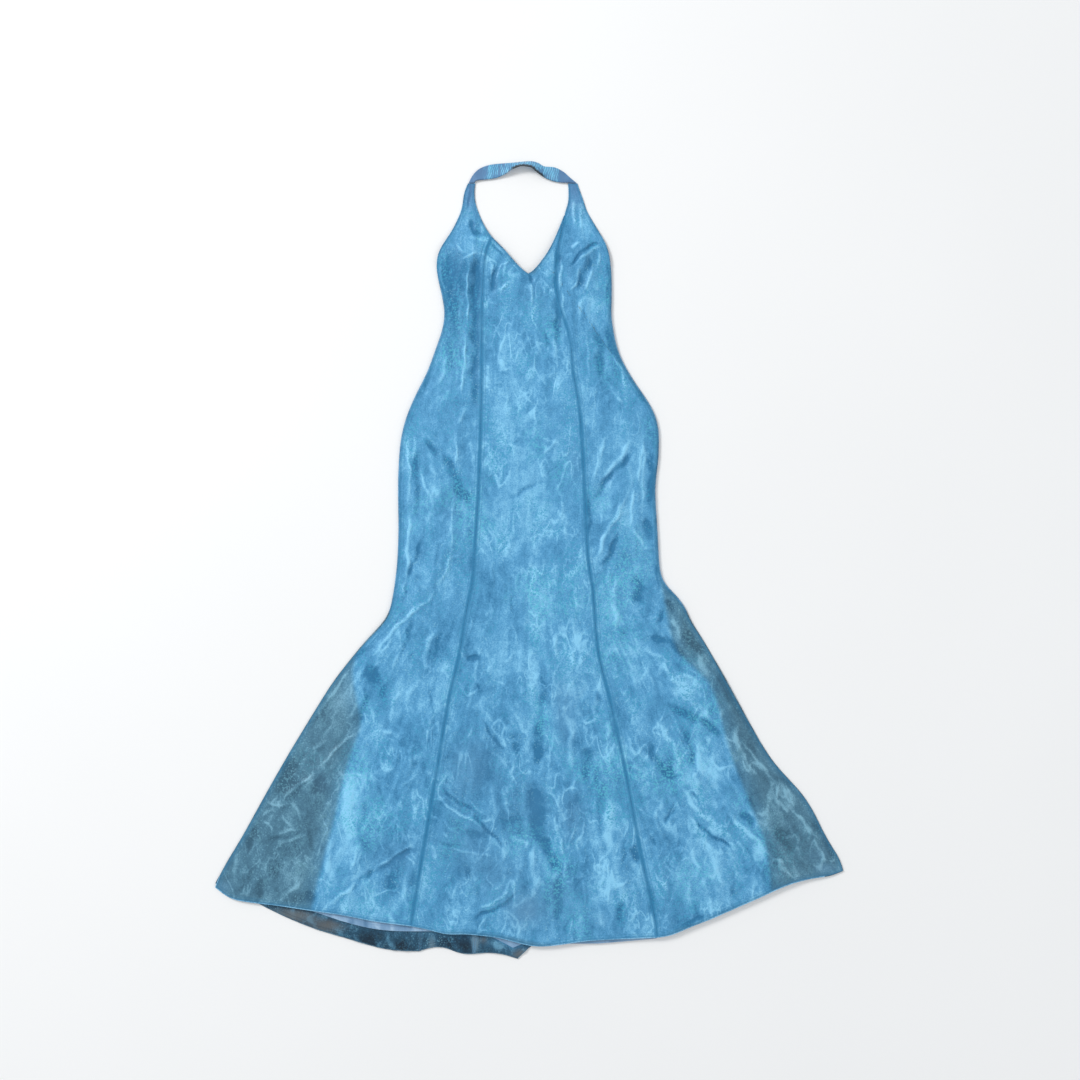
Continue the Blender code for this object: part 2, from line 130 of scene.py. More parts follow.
class Crease(NamedTuple):
    """A soft ridge, or a trough where its height is negative, between two points."""

    x0: float
    y0: float
    x1: float
    y1: float
    bend: float
    width: float
    height: float

    @classmethod
    def rows(cls, *rows: tuple[float, ...]) -> tuple[Crease, ...]:
        """Creases from rows of their numbers."""
        return tuple(cls(*row) for row in rows)

    def share(self, x: np.ndarray, y: np.ndarray) -> np.ndarray:
        """How much of the crease's height each point takes.

        Args:
            x: Places across the dress, in millimetres.
            y: Places up the dress, in millimetres.

        Returns:
            Shares from 0 to 1.
        """
        along_x = self.x1 - self.x0
        along_y = self.y1 - self.y0
        length = math.hypot(along_x, along_y)
        down = ((x - self.x0) * along_x + (y - self.y0) * along_y) / length**2
        aside = ((x - self.x0) * along_y - (y - self.y0) * along_x) / length
        phase = 0.37 * self.x0 + 0.21 * self.y0
        along = down * length
        wander = np.sin(along / 13.0 + phase) + 0.6 * np.sin(along / 5.5 + 2.0 * phase)
        aside -= 4.0 * self.bend * down * (1.0 - down) + 0.2 * min(self.width, 12.0) * wander
        ends = smooth_step(np.minimum(down, 1.0 - down), 0.0, 0.3)
        uneven = 0.8 + 0.2 * np.sin(along / 9.0 + 1.7 * phase)
        narrow = 0.55 + 0.45 * ends
        reach = np.clip(np.abs(aside) / (self.width * narrow), 0.0, 0.5)
        return ends * uneven * np.cos(math.pi * reach) ** 2


class Patch(NamedTuple):
    """A soft-edged patch of lighter, darker or warmer cloth: its tone is partly painted sheen and
    painted shade, partly the cloth's own uneven tone.
    """

    x: float
    y: float
    half_width: float
    half_length: float
    tone: float
    warm: float = 0.0

    @classmethod
    def rows(cls, *rows: tuple[float, ...]) -> tuple[Patch, ...]:
        """Patches from rows of their numbers."""
        return tuple(cls(*row) for row in rows)

    def share(self, x: np.ndarray, y: np.ndarray) -> np.ndarray:
        """How much of the patch each point takes.

        Args:
            x: Places across the dress, in millimetres.
            y: Places up the dress, in millimetres.

        Returns:
            Shares from 0 to 1.
        """
        away = np.hypot((x - self.x) / self.half_width, (y - self.y) / self.half_length)
        return 1.0 - smooth_step(away, 0.0, 1.0)


BODICE_CREASES = Crease.rows(
    (-108, 728, -121, 660, -3, 7, -2.0),
    (-104, 700, -94, 646, 3, 8, 1.4),
    (-110, 652, -106, 610, 0, 16, -2.4),
    (-110, 622, -68, 604, -6, 12, -2.6),
    (-90, 644, -84, 612, 0, 11, 1.4),
    (-122, 610, -58, 596, -5, 8, 1.5),
    (-80, 612, -36, 570, 3, 7, -1.6),
    (-140, 600, -112, 584, 5, 9, 1.0),
    (-128, 566, -90, 580, -4, 7, 2.6),
    (-98, 581, -68, 554, -7, 7, 2.6),
    (-71, 566, -70, 522, 0, 7, 2.0),
    (-98, 592, -99, 430, 0, 34, -3.4),
    (-98, 490, -105, 266, 0, 30, -2.8),
    (-114, 576, -116, 430, 1, 7, 1.8),
    (-116, 440, -128, 296, 1, 7, 1.6),
    (-61, 574, -66, 496, 3, 22, -3.2),
    (-44, 580, -50, 530, -3, 8, 1.6),
    (-60, 508, -32, 527, 0, 8, 2.2),
    (-80, 500, -56, 486, 3, 9, 1.2),
    (-36, 562, -8, 530, -2, 7, 0.9),
    (-150, 590, -146, 484, 0, 18, -1.9),
    (-168, 568, -158, 500, 3, 8, 1.1),
    (-134, 560, -130, 440, 0, 10, 0.7),
    (1, 544, 8, 518, 0, 9, -2.6),
    (6, 536, 3, 476, 0, 7, 2.4),
    (16, 540, 8, 520, 0, 7, 1.2),
    (70, 650, 54, 578, 0, 9, -2.2),
    (53, 606, 51, 486, 0, 15, -3.2),
    (52, 512, 60, 396, 2, 19, -2.8),
    (46, 590, 44, 548, 0, 7, 1.0),
    (58, 574, 59, 506, -2, 9, 2.2),
    (60, 512, 70, 440, 0, 9, 1.7),
    (144, 608, 70, 550, 6, 10, -2.8),
    (142, 598, 88, 558, 6, 9, 1.9),
    (94, 562, 76, 508, -6, 9, 2.0),
    (121, 580, 90, 502, 2, 27, -3.2),
    (122, 566, 98, 506, -6, 7, 1.4),
    (96, 606, 82, 584, 0, 12, 1.6),
    (86, 690, 84, 630, 0, 10, 1.4),
    (84, 582, 68, 566, 3, 7, 1.4),
    (104, 700, 100, 620, 2, 9, 1.1),
    (150, 580, 151, 470, 0, 10, -1.6),
    (134, 590, 134, 550, 3, 8, 1.1),
    (106, 500, 96, 452, 3, 14, 1.1),
    (149, 452, 160, 384, 0, 16, -2.8),
    (156, 412, 230, 280, -4, 22, -3.2),
    (157, 392, 186, 318, -4, 9, 1.6),
    (130, 440, 140, 340, 0, 26, -2.2),
    (110, 440, 118, 340, 3, 9, 0.9),
    (150, 340, 176, 290, 0, 12, 0.9),
    (-150, 392, -172, 322, 3, 12, 1.2),
    (-144, 330, -168, 290, 3, 9, 0.9),
    (-178, 372, -204, 310, 0, 14, -1.1),
    (30, 440, 34, 396, 0, 9, -1.3),
    (-8, 440, -6, 396, 0, 8, -0.9),
    (-52, 430, -40, 350, 6, 14, 1.0),
    (44, 430, 50, 370, -4, 12, 1.0),
    (14, 436, 20, 376, 3, 9, 0.8),
    (-78, 380, -74, 312, 0, 8, 0.8),
)

HIP_CREASES = Crease.rows(
    (-232, 250, -228, 96, -3, 8, 1.6),
    (-228, 110, -240, -96, -4, 9, 1.8),
    (-216, 244, -219, 180, 0, 7, 1.2),
    (-210, 236, -208, 70, 4, 22, -1.3),
    (-244, 200, -246, 0, 0, 8, -0.9),
    (-190, 64, -244, -98, 6, 14, -1.5),
    (-204, 180, -184, 110, 4, 9, 1.3),
    (-188, 214, -180, 150, 0, 16, 1.0),
    (-176, 140, -166, 100, 0, 14, 1.1),
    (-196, 236, -176, 190, 0, 20, -1.4),
    (-172, 220, -104, 84, 0, 30, -1.9),
    (-112, 100, -106, -60, 0, 22, -0.9),
    (-138, 250, -138, 170, 0, 7, 1.5),
    (-140, 120, -146, 16, 3, 7, 1.5),
    (-146, 24, -176, -56, -4, 7, 1.7),
    (-170, -48, -252, -122, -6, 9, 1.5),
    (-112, 236, -106, 180, 0, 9, 1.0),
    (-160, 40, -176, -20, 4, 12, -0.7),
    (196, 232, 140, 148, 0, 14, 1.7),
    (206, 214, 116, 106, 4, 20, -2.2),
    (196, 134, 120, -16, 6, 13, 1.8),
    (174, 56, 138, -16, 0, 18, -2.2),
    (170, 180, 150, 130, 0, 8, 1.0),
    (152, 240, 128, 170, 3, 14, 1.0),
    (114, 130, 112, 40, 0, 14, -1.6),
    (213, 238, 204, 140, -4, 8, 1.7),
    (204, 146, 190, 58, 2, 8, 1.5),
    (190, 64, 216, 18, -5, 8, 1.5),
    (212, 26, 240, 20, 0, 8, 1.2),
    (218, 226, 214, 90, 0, 7, 1.0),
    (231, 222, 232, 84, 0, 24, -2.8),
    (224, 84, 230, 34, 0, 28, -2.8),
    (241, 0, 244, -60, 0, 9, -1.4),
    (205, -20, 208, -92, 0, 34, -1.6),
    (166, -30, 164, -140, 3, 16, 1.1),
    (146, 0, 154, -50, 0, 9, 0.8),
    (46, 152, -52, 110, 4, 12, -1.1),
    (-40, 200, -52, 130, 8, 8, 0.9),
    (62, 122, 76, 72, 6, 7, 1.3),
    (76, 78, 68, 36, 4, 7, 1.0),
    (44, 112, 60, 56, -6, 7, 0.9),
    (-70, 236, -10, 214, 5, 8, 0.9),
    (20, 230, 66, 214, -5, 8, 0.9),
    (-20, 60, -44, -10, 7, 8, 0.8),
    (6, 20, -14, -40, -6, 8, 0.8),
    (-70, 20, -64, -50, 4, 8, 0.8),
    (54, 10, 40, -60, 6, 8, 0.8),
    (-28, -60, -34, -106, 3, 10, -0.9),
)

LEFT_SKIRT_CREASES = Crease.rows(
    (-206, -78, -268, -138, -4, 9, 1.6),
    (-236, -104, -304, -186, -4, 9, 1.6),
    (-256, -134, -296, -196, -3, 7, 1.2),
    (-212, -104, -246, -196, 4, 18, -1.2),
    (-232, -160, -262, -214, 3, 8, 1.3),
    (-174, -122, -202, -214, 4, 18, 1.7),
    (-200, -204, -236, -286, 4, 16, 1.2),
    (-160, -130, -180, -190, 4, 10, -0.8),
    (-246, -236, -262, -316, 3, 9, 1.2),
    (-286, -322, -236, -346, -5, 16, 1.2),
    (-186, -240, -178, -330, 0, 9, -1.0),
    (-270, -230, -288, -300, 3, 16, -1.0),
    (-292, -196, -286, -240, 0, 24, -2.6),
    (-308, -226, -318, -330, 0, 16, -1.4),
    (-262, -132, -344, -206, 4, 14, -0.9),
    (-318, -180, -352, -246, 3, 12, 0.9),
    (-330, -196, -406, -306, 3, 8, 1.8),
    (-330, -240, -382, -326, 4, 9, 0.9),
    (-318, -264, -346, -304, 0, 8, 1.2),
    (-362, -232, -420, -330, 0, 14, -0.8),
    (-330, -300, -352, -366, 3, 9, 0.9),
    (-318, -318, -412, -408, 3, 7, 2.6),
    (-396, -396, -478, -466, 3, 8, 2.4),
    (-352, -378, -384, -440, 4, 9, 1.2),
    (-386, -400, -410, -452, 0, 26, -1.7),
    (-376, -340, -424, -366, 3, 12, 0.9),
    (-440, -362, -480, -456, 0, 40, -1.9),
    (-502, -456, -446, -462, 6, 8, 1.6),
    (-508, -492, -474, -470, -4, 7, 1.5),
    (-508, -494, -484, -524, -5, 8, 1.6),
    (-486, -524, -430, -512, -6, 8, 1.6),
    (-470, -476, -440, -512, 6, 7, 1.3),
    (-448, -452, -424, -500, 4, 8, 1.0),
    (-522, -500, -530, -560, 0, 18, -1.5),
    (-498, -540, -446, -524, -6, 12, -1.2),
    (-492, -556, -412, -516, -5, 9, 1.7),
    (-414, -500, -404, -566, 3, 12, -1.2),
    (-432, -556, -444, -636, 0, 20, 1.0),
    (-476, -570, -480, -640, 0, 18, -0.9),
    (-546, -540, -560, -620, 3, 14, 1.0),
    (-512, -600, -506, -646, 0, 20, -1.3),
    (-470, -636, -420, -596, 4, 8, 1.2),
    (-426, -632, -402, -642, 0, 26, -1.8),
    (-340, -412, -338, -532, 4, 30, 1.9),
    (-372, -520, -386, -604, 0, 20, 1.1),
    (-306, -440, -322, -540, 0, 18, -0.9),
    (-318, -524, -334, -588, 0, 7, 1.5),
    (-204, -544, -288, -588, 3, 18, -2.3),
    (-280, -586, -346, -628, 3, 16, -2.0),
    (-208, -534, -300, -590, 3, 8, 1.4),
    (-292, -592, -388, -664, 5, 9, 2.1),
    (-262, -590, -258, -636, 0, 24, -1.7),
    (-232, -584, -236, -668, 0, 14, 1.1),
    (-300, -628, -280, -676, 3, 14, 0.9),
    (-250, -440, -240, -520, 4, 9, 0.9),
    (-224, -420, -214, -500, -4, 12, 1.1),
    (-286, -400, -268, -470, 4, 9, -0.8),
    (-214, -336, -228, -400, 4, 9, 0.9),
)

CENTRE_SKIRT_CREASES = Crease.rows(
    (-126, -184, -86, -188, 0, 16, -2.2),
    (-92, -298, -36, -368, 4, 9, -1.7),
    (-76, -306, -40, -352, 3, 7, 1.2),
    (-32, -322, -26, -374, 0, 22, -1.2),
    (-98, -216, -92, -262, 0, 14, -0.9),
    (30, -176, 26, -310, 0, 30, -1.6),
    (24, -290, 10, -424, 2, 34, -1.9),
    (4, -404, 16, -540, -4, 38, -2.5),
    (14, -516, 60, -606, -6, 34, -2.6),
    (62, -590, 56, -690, 4, 26, -2.0),
    (50, -316, 40, -404, 4, 8, 1.2),
    (76, -300, 82, -402, 0, 18, 1.5),
    (78, -172, 92, -204, 0, 9, 1.3),
    (92, -204, 106, -178, 0, 9, 1.3),
    (94, -206, 60, -300, 4, 9, 0.8),
    (-30, -166, -44, -200, 0, 10, 1.1),
    (40, -120, 62, -200, 4, 12, 0.9),
    (112, -340, 108, -424, 0, 30, -1.4),
    (128, -240, 134, -300, 0, 14, -1.3),
    (154, -300, 148, -346, 0, 14, 1.2),
    (-166, -428, -100, -478, 4, 10, -2.8),
    (-110, -470, -42, -548, 4, 10, -2.8),
    (-178, -444, -72, -512, 5, 9, 1.9),
    (-112, -454, -74, -488, 3, 7, 1.3),
    (-52, -518, -44, -572, 0, 7, 1.5),
    (-40, -520, 4, -548, -4, 9, 1.4),
    (-64, -490, -6, -484, 6, 20, -0.9),
    (-70, -420, -62, -486, 0, 9, 1.0),
    (-44, -430, -36, -490, 3, 14, 1.1),
    (-134, -508, -70, -530, 0, 22, -1.1),
    (-174, -536, -128, -546, -2, 9, -1.4),
    (-176, -544, -56, -566, -4, 7, 1.5),
    (-160, -486, -136, -520, 5, 8, 1.1),
    (-168, -516, -150, -524, 0, 9, 1.4),
    (-114, -684, -12, -626, 4, 12, -2.7),
    (-104, -664, -34, -622, 4, 8, 1.7),
    (-34, -626, -22, -596, 0, 7, 1.1),
    (-70, -630, -44, -590, 4, 9, 0.9),
    (8, -530, 12, -640, 2, 20, 1.5),
    (-30, -560, -14, -610, 3, 9, 0.9),
    (-120, -566, -90, -640, 5, 24, -0.8),
    (-150, -580, -140, -650, 4, 14, 0.9),
    (46, -470, 70, -572, 2, 8, 1.8),
    (70, -566, 66, -610, 0, 7, 1.6),
    (60, -430, 54, -480, 0, 9, 1.0),
    (84, -430, 86, -540, 0, 30, -0.6),
    (152, -436, 150, -560, 3, 26, 1.6),
    (128, -440, 122, -520, 0, 9, 0.9),
    (122, -574, 152, -592, -4, 7, 1.8),
    (116, -600, 156, -634, 3, 7, 1.7),
    (80, -600, 106, -598, 2, 7, 1.2),
    (104, -600, 108, -664, 0, 7, 1.1),
    (132, -640, 156, -640, 3, 9, 0.9),
    (200, -534, 206, -576, 0, 22, -2.6),
    (182, -520, 178, -600, 3, 14, -1.0),
    (190, -470, 176, -520, 3, 9, 1.0),
    (172, -640, 172, -694, 0, 24, -1.4),
    (134, -650, 138, -704, 0, 12, 1.0),
    (204, -620, 200, -690, 3, 12, 0.9),
    (84, -676, 60, -706, 0, 8, -0.9),
)

RIGHT_SKIRT_CREASES = Crease.rows(
    (258, -92, 246, -122, 0, 16, -2.0),
    (262, -70, 276, -102, 0, 18, -2.8),
    (270, -104, 292, -156, 2, 14, 1.9),
    (296, -128, 330, -184, 2, 30, -2.0),
    (318, -176, 346, -226, 2, 18, 1.2),
    (220, -142, 300, -180, -5, 20, -1.7),
    (214, -162, 258, -186, 4, 10, 1.4),
    (252, -180, 292, -244, 5, 10, 1.6),
    (256, -224, 316, -262, -6, 8, 1.6),
    (280, -214, 322, -236, -5, 9, 1.2),
    (224, -190, 244, -246, 5, 10, 1.1),
    (196, -196, 208, -250, 3, 14, 0.9),
    (248, -272, 380, -346, -9, 24, -2.0),
    (292, -306, 314, -400, 0, 24, -1.3),
    (222, -282, 290, -404, -10, 12, 1.8),
    (216, -334, 280, -426, 3, 28, -2.3),
    (196, -300, 216, -370, 4, 10, 0.9),
    (322, -334, 330, -420, 4, 12, 1.1),
    (348, -350, 362, -420, 4, 10, 0.9),
    (330, -262, 352, -320, 3, 12, 0.9),
    (346, -188, 452, -366, -2, 42, -1.9),
    (388, -304, 404, -374, 2, 18, 1.8),
    (400, -336, 464, -406, 6, 8, 2.1),
    (398, -354, 440, -412, 5, 8, 1.5),
    (420, -372, 470, -420, 4, 8, 1.2),
    (396, -372, 404, -420, 0, 20, -1.3),
    (352, -230, 372, -330, 4, 12, 1.0),
    (452, -400, 520, -456, -4, 18, -1.1),
    (470, -420, 478, -472, 5, 8, 1.6),
    (484, -426, 506, -470, 6, 8, 1.6),
    (460, -448, 494, -490, -6, 9, 1.4),
    (470, -496, 500, -566, 0, 60, -1.4),
    (500, -476, 540, -528, -3, 9, 2.0),
    (538, -520, 566, -578, 2, 9, 2.1),
    (524, -498, 556, -540, 0, 7, 1.3),
    (532, -482, 592, -578, 0, 22, -1.6),
    (468, -560, 500, -600, 3, 14, 1.5),
    (420, -440, 440, -500, 3, 16, -0.9),
    (300, -480, 400, -554, 5, 9, -2.7),
    (284, -424, 350, -502, 4, 13, 1.6),
    (366, -476, 452, -562, -7, 15, 2.3),
    (352, -500, 420, -566, -4, 9, 1.1),
    (396, -474, 430, -506, 0, 22, -2.2),
    (282, -452, 258, -504, 3, 12, -1.4),
    (308, -436, 324, -466, 0, 9, -1.4),
    (240, -460, 250, -520, 4, 10, 1.1),
    (284, -520, 292, -590, 3, 9, -0.9),
    (300, -540, 336, -590, 5, 12, 1.2),
    (350, -560, 372, -620, 4, 12, 1.1),
    (300, -600, 310, -660, 3, 12, 1.1),
    (250, -560, 262, -640, 4, 12, 0.9),
    (226, -600, 234, -690, 0, 16, -1.2),
    (396, -600, 380, -648, 3, 14, -1.0),
    (430, -590, 444, -630, 0, 12, 0.9),
    (262, -702, 400, -652, 0, 13, -1.2),
    (224, -520, 246, -540, 0, 14, -1.2),
)

BACK_HEM_CREASES = Crease.rows(
    (-460, -640, -440, -684, 2, 20, 1.8),
    (-420, -668, -396, -702, 3, 16, 2.2),
    (-372, -690, -352, -716, -2, 14, 2.4),
    (-330, -704, -318, -728, 2, 14, 2.2),
    (-292, -706, -284, -736, 0, 18, 2.6),
    (-264, -704, -254, -746, 2, 20, 3.0),
    (-236, -706, -232, -752, -2, 14, 2.2),
    (-180, -712, -176, -738, 0, 18, 2.4),
    (-146, -714, -138, -744, 2, 16, 2.6),
    (-90, -712, -94, -748, 0, 14, 2.2),
    (-60, -718, -56, -746, 3, 16, 2.4),
    (-34, -726, -30, -750, 0, 14, 2.2),
    (-14, -734, -12, -756, 0, 12, 2.4),
)

BACK_CREASES = Crease.rows(
    (-140, 420, -176, 250, 6, 24, 0.3),
    (120, 400, 182, 240, -6, 24, 0.3),
    (-200, 220, -206, 20, 4, 20, 0.3),
    (196, 200, 190, 10, -4, 20, 0.3),
    (-150, 60, -220, -120, -10, 26, 0.3),
    (140, 40, 230, -130, 10, 26, -0.3),
    (-60, 240, -80, 0, 4, 18, 0.3),
    (40, 200, 30, -40, 4, 18, -0.3),
    (-300, -220, -400, -430, 8, 30, 0.35),
    (-220, -260, -300, -560, 6, 26, -0.3),
    (-460, -460, -520, -620, 6, 24, 0.35),
    (300, -220, 400, -420, -8, 30, 0.35),
    (220, -280, 280, -600, -6, 26, -0.3),
    (440, -440, 530, -580, 6, 24, 0.35),
    (-120, -300, -150, -600, 4, 20, 0.3),
    (0, -260, -20, -640, 6, 22, -0.3),
    (110, -340, 140, -640, -6, 22, 0.3),
)

# Front patches: the lighter ones are partly painted sheen, the darker ones partly painted shade.
FRONT_PATCHES = Patch.rows(
    (-190, 130, 90, 330, 0.06),
    (180, 160, 80, 220, 0.24),
    (-146, 520, 50, 130, -0.85),
    (-20, 330, 70, 110, 0.12),
    (0, 130, 115, 250, 0.3),
    (84, 190, 24, 56, -0.2, 0.3),
    (4, 500, 46, 60, -0.15, 0.15),
    (24, 520, 26, 34, -0.2),
    (-45, 440, 30, 60, 0.3),
    (104, 640, 30, 70, 0.5),
    (118, 480, 30, 40, 0.3),
    (-100, 630, 8, 40, -0.4),
    (-97, 715, 8, 10, -0.8),
    (-150, 110, 40, 60, -0.15, 0.2),
    (-196, -140, 60, 90, -0.2),
    (30, -90, 60, 60, 0.2),
    (-60, -120, 40, 60, 0.1),
    (70, -280, 40, 110, -0.1, 0.5),
    (-40, -180, 70, 60, 0.25),
    (-106, -187, 22, 10, -0.5),
    (-100, -380, 80, 90, -0.2, 0.45),
    (-20, -470, 100, 100, -0.3, 0.3),
    (84, -485, 44, 80, -0.25, 0.5),
    (-120, -540, 90, 80, -0.2, 0.4),
    (-8, -664, 60, 56, -0.25, 1.0),
    (-60, -600, 90, 80, -0.15, 0.4),
    (60, -640, 80, 80, -0.2, 0.3),
    (136, -680, 26, 30, 0.2, 0.3),
    (154, -490, 24, 80, 0.35),
    (290, -244, 50, 40, 0.5),
    (216, -226, 34, 40, 0.3),
    (240, -150, 30, 30, -0.3),
    (292, -150, 26, 80, -0.35),
    (340, -400, 60, 60, 0.25),
    (436, -552, 20, 26, 0.9),
    (320, -560, 80, 60, 0.2),
    (300, -640, 70, 40, 0.15),
    (-342, -500, 34, 150, 0.55),
    (-372, -580, 18, 60, 0.3),
    (-300, -440, 60, 110, 0.22),
    (-260, -520, 50, 40, -0.15),
    (-250, -610, 60, 40, -0.25),
    (-330, -650, 50, 20, 0.2),
    (-160, -640, 50, 50, 0.1),
    (-300, -215, 20, 28, -0.9),
    (-350, -260, 40, 50, 0.25, 0.2),
    (-380, -330, 36, 40, 0.15),
    (-452, -410, 46, 80, -0.45),
    (-392, -420, 26, 40, -0.3, 0.3),
    (-486, -492, 34, 40, 0.1),
    (-530, -540, 24, 60, -0.2),
    (-450, -600, 50, 60, 0.15),
    (-430, -640, 34, 20, -0.5),
    (-580, -620, 26, 18, 0.2, 0.6),
    (-550, -590, 26, 40, 0.2),
    (420, -390, 50, 40, 0.2),
    (330, -200, 20, 30, 0.1),
    (352, -240, 26, 60, -0.2),
    (480, -452, 34, 40, 0.25),
    (496, -540, 60, 60, 0.15),
    (490, -596, 30, 26, 0.25),
    (562, -586, 34, 16, 0.2, 0.7),
    (548, -560, 30, 24, 0.1, 0.3),
    (-143, 22, 40, 60, -0.3),
    (164, 366, 20, 60, -0.2),
    (-130, -420, 60, 90, -0.2, 0.3),
    (-250, -560, 90, 80, -0.15, 0.25),
    (330, -540, 110, 130, 0.12),
    (-40, 300, 60, 160, 0.1),
    (40, -200, 130, 100, 0.3),
    (-500, -560, 90, 90, -0.3),
    (-92, 470, 20, 120, 0.25),
    (177, -18, 60, 90, -0.22),
    (-143, 403, 30, 60, -0.24),
    (217, -178, 60, 70, 0.18),
    (398, -539, 60, 60, 0.12),
    (117, -459, 50, 70, -0.12),
    (141, 383, 26, 50, 0.18),
    (-43, -178, 60, 60, 0.16),
)

# Back patches: the darker ones are painted shade on the back's hem, where it shows below the front.
BACK_PATCHES = Patch.rows(
    (-446, -674, 74, 26, 0.35, 1.0),
    (-384, -694, 54, 22, 0.0, 0.9),
    (-300, -722, 50, 26, -0.5),
    (-240, -738, 32, 24, -0.8),
    (-150, -722, 46, 26, -0.6),
    (-122, -722, 12, 30, -0.9),
    (-184, -732, 10, 26, 0.9, 0.6),
    (-102, -722, 10, 34, 1.2, 1.0),
    (-86, -716, 12, 18, 0.2, 0.9),
    (-54, -730, 30, 14, 0.9),
    (-16, -748, 26, 16, 0.0, 1.0),
)

# Lining patches: painted shade and painted highlight on the strip of lining below the front hem.
LINING_PATCHES = Patch.rows(
    (-337, -692, 9, 24, -2.2),
    (-404, -672, 12, 20, 0.6),
    (-290, -690, 14, 20, 0.6),
    (-238, -694, 20, 20, -0.7),
    (-212, -700, 10, 16, 0.7),
)

LINING_HEM_CREASES = Crease.rows(
    (-402, -652, -398, -684, 0, 12, -0.5),
    (-370, -660, -364, -690, 2, 10, 0.6),
    (-340, -664, -336, -694, 0, 12, 0.6),
    (-312, -670, -306, -704, 0, 9, -0.6),
    (-290, -676, -284, -706, 2, 10, 0.6),
    (-262, -680, -256, -708, 0, 9, 0.6),
    (-230, -684, -224, -708, 0, 10, -0.5),
    (-200, -686, -196, -708, 0, 9, 0.6),
    (20, -700, 24, -734, 0, 14, 0.5),
    (90, -700, 94, -734, 0, 12, -0.5),
    (150, -696, 152, -730, 0, 12, 0.5),
    (210, -690, 214, -724, 0, 12, 0.5),
)

LINING_CREASES = Crease.rows(
    (-120, 560, -100, 440, 5, 20, 0.5),
    (100, 560, 84, 440, -5, 20, 0.5),
    (-60, 520, 40, 500, 10, 22, -0.5),
    (-90, 470, 60, 462, 6, 18, 0.5),
    (-140, 500, -60, 440, 6, 16, -0.4),
    (130, 520, 70, 450, 6, 16, 0.4),
)

BAND_MIDDLE = (
    (-114.0, 715.0),
    (-92.0, 733.0),
    (-70.0, 737.5),
    (-48.0, 742.0),
    (-32.0, 747.0),
    (-14.0, 750.5),
    (4.0, 750.0),
    (17.0, 744.0),
    (30.0, 735.5),
    (46.0, 732.0),
    (64.0, 727.0),
    (91.0, 715.0),
)


def sum_creases(
    creases: Iterable[Crease], x: np.ndarray, y: np.ndarray
) -> tuple[np.ndarray, np.ndarray]:
    """Adds up creases at each point.

    Args:
        creases: The creases.
        x: Places across the dress, in millimetres.
        y: Places up the dress, in millimetres.

    Returns:
        Heights in millimetres, and tones of painted shade in troughs and painted highlight on ridges.
    """
    height = np.zeros(len(x))
    tone = np.zeros(len(x))
    for crease in creases:
        share = crease.share(x, y)
        height += crease.height * share
        # The tone is painted light: shade in a trough, a highlight on a ridge.
        tone += np.clip(crease.height / FULL_TONE, -1.0, 1.0) * share
    return height, tone


def sum_patches(
    patches: Iterable[Patch], x: np.ndarray, y: np.ndarray
) -> tuple[np.ndarray, np.ndarray]:
    """Adds up patches at each point.

    Args:
        patches: The patches.
        x: Places across the dress, in millimetres.
        y: Places up the dress, in millimetres.

    Returns:
        Tones and warmths.
    """
    tone = np.zeros(len(x))
    warm = np.zeros(len(x))
    for patch in patches:
        share = patch.share(x, y)
        tone += patch.tone * share
        warm += patch.warm * share
    return tone, warm


@dataclass(frozen=True)
class Scatter:
    """Small uneven crinkles scattered over a length of the dress, the same each time."""

    seed: int
    count: int
    low: float
    high: float
    low_reach: float
    high_reach: float = 170.0
    lean: float = 0.55

    def creases(self) -> tuple[Crease, ...]:
        """Draws the crinkles.

        Returns:
            The crinkles as creases.
        """
        dice = random.Random(self.seed)
        made = []
        for _ in range(self.count):
            y = dice.uniform(self.low, self.high)
            share = (self.high - y) / (self.high - self.low)
            x = dice.uniform(-1.0, 1.0) * (self.high_reach + (self.low_reach - self.high_reach) * share)
            turn = dice.gauss(0.0, self.lean) + x / 1400.0
            length = dice.uniform(22.0, 78.0)
            tip = (x + length * math.sin(turn), y - length * math.cos(turn))
            bend = dice.uniform(-0.16, 0.16) * length
            height = dice.choice((-0.6, 0.7, 0.9)) * dice.uniform(0.5, 1.1)
            made.append(Crease(x, y, *tip, bend, dice.uniform(5.5, 9.0), height))
        return tuple(made)


def crinkle(x: np.ndarray, y: np.ndarray, seed: float) -> np.ndarray:
    """Fine crinkle of the organza, longer down the dress than across it.

    Args:
        x: Places across the dress, in millimetres.
        y: Places up the dress, in millimetres.
        seed: Which slice of the noise it takes.

    Returns:
        Heights in millimetres, about -1 to 1.
    """
    heights = np.empty(len(x))
    for place, (across, up) in enumerate(zip(x.tolist(), y.tolist())):
        warp = 16.0 * noise.noise(Vector((across / 50.0, up / 80.0, seed)))
        wide = noise.noise(Vector(((across + warp) / 24.0, up / 60.0, seed + 3.1)))
        fine = noise.noise(Vector(((across + warp) / 10.0, (up + warp) / 22.0, seed + 7.7)))
        heights[place] = 0.9 * wide + 0.6 * (0.5 - abs(fine) * 2.0)
    return heights


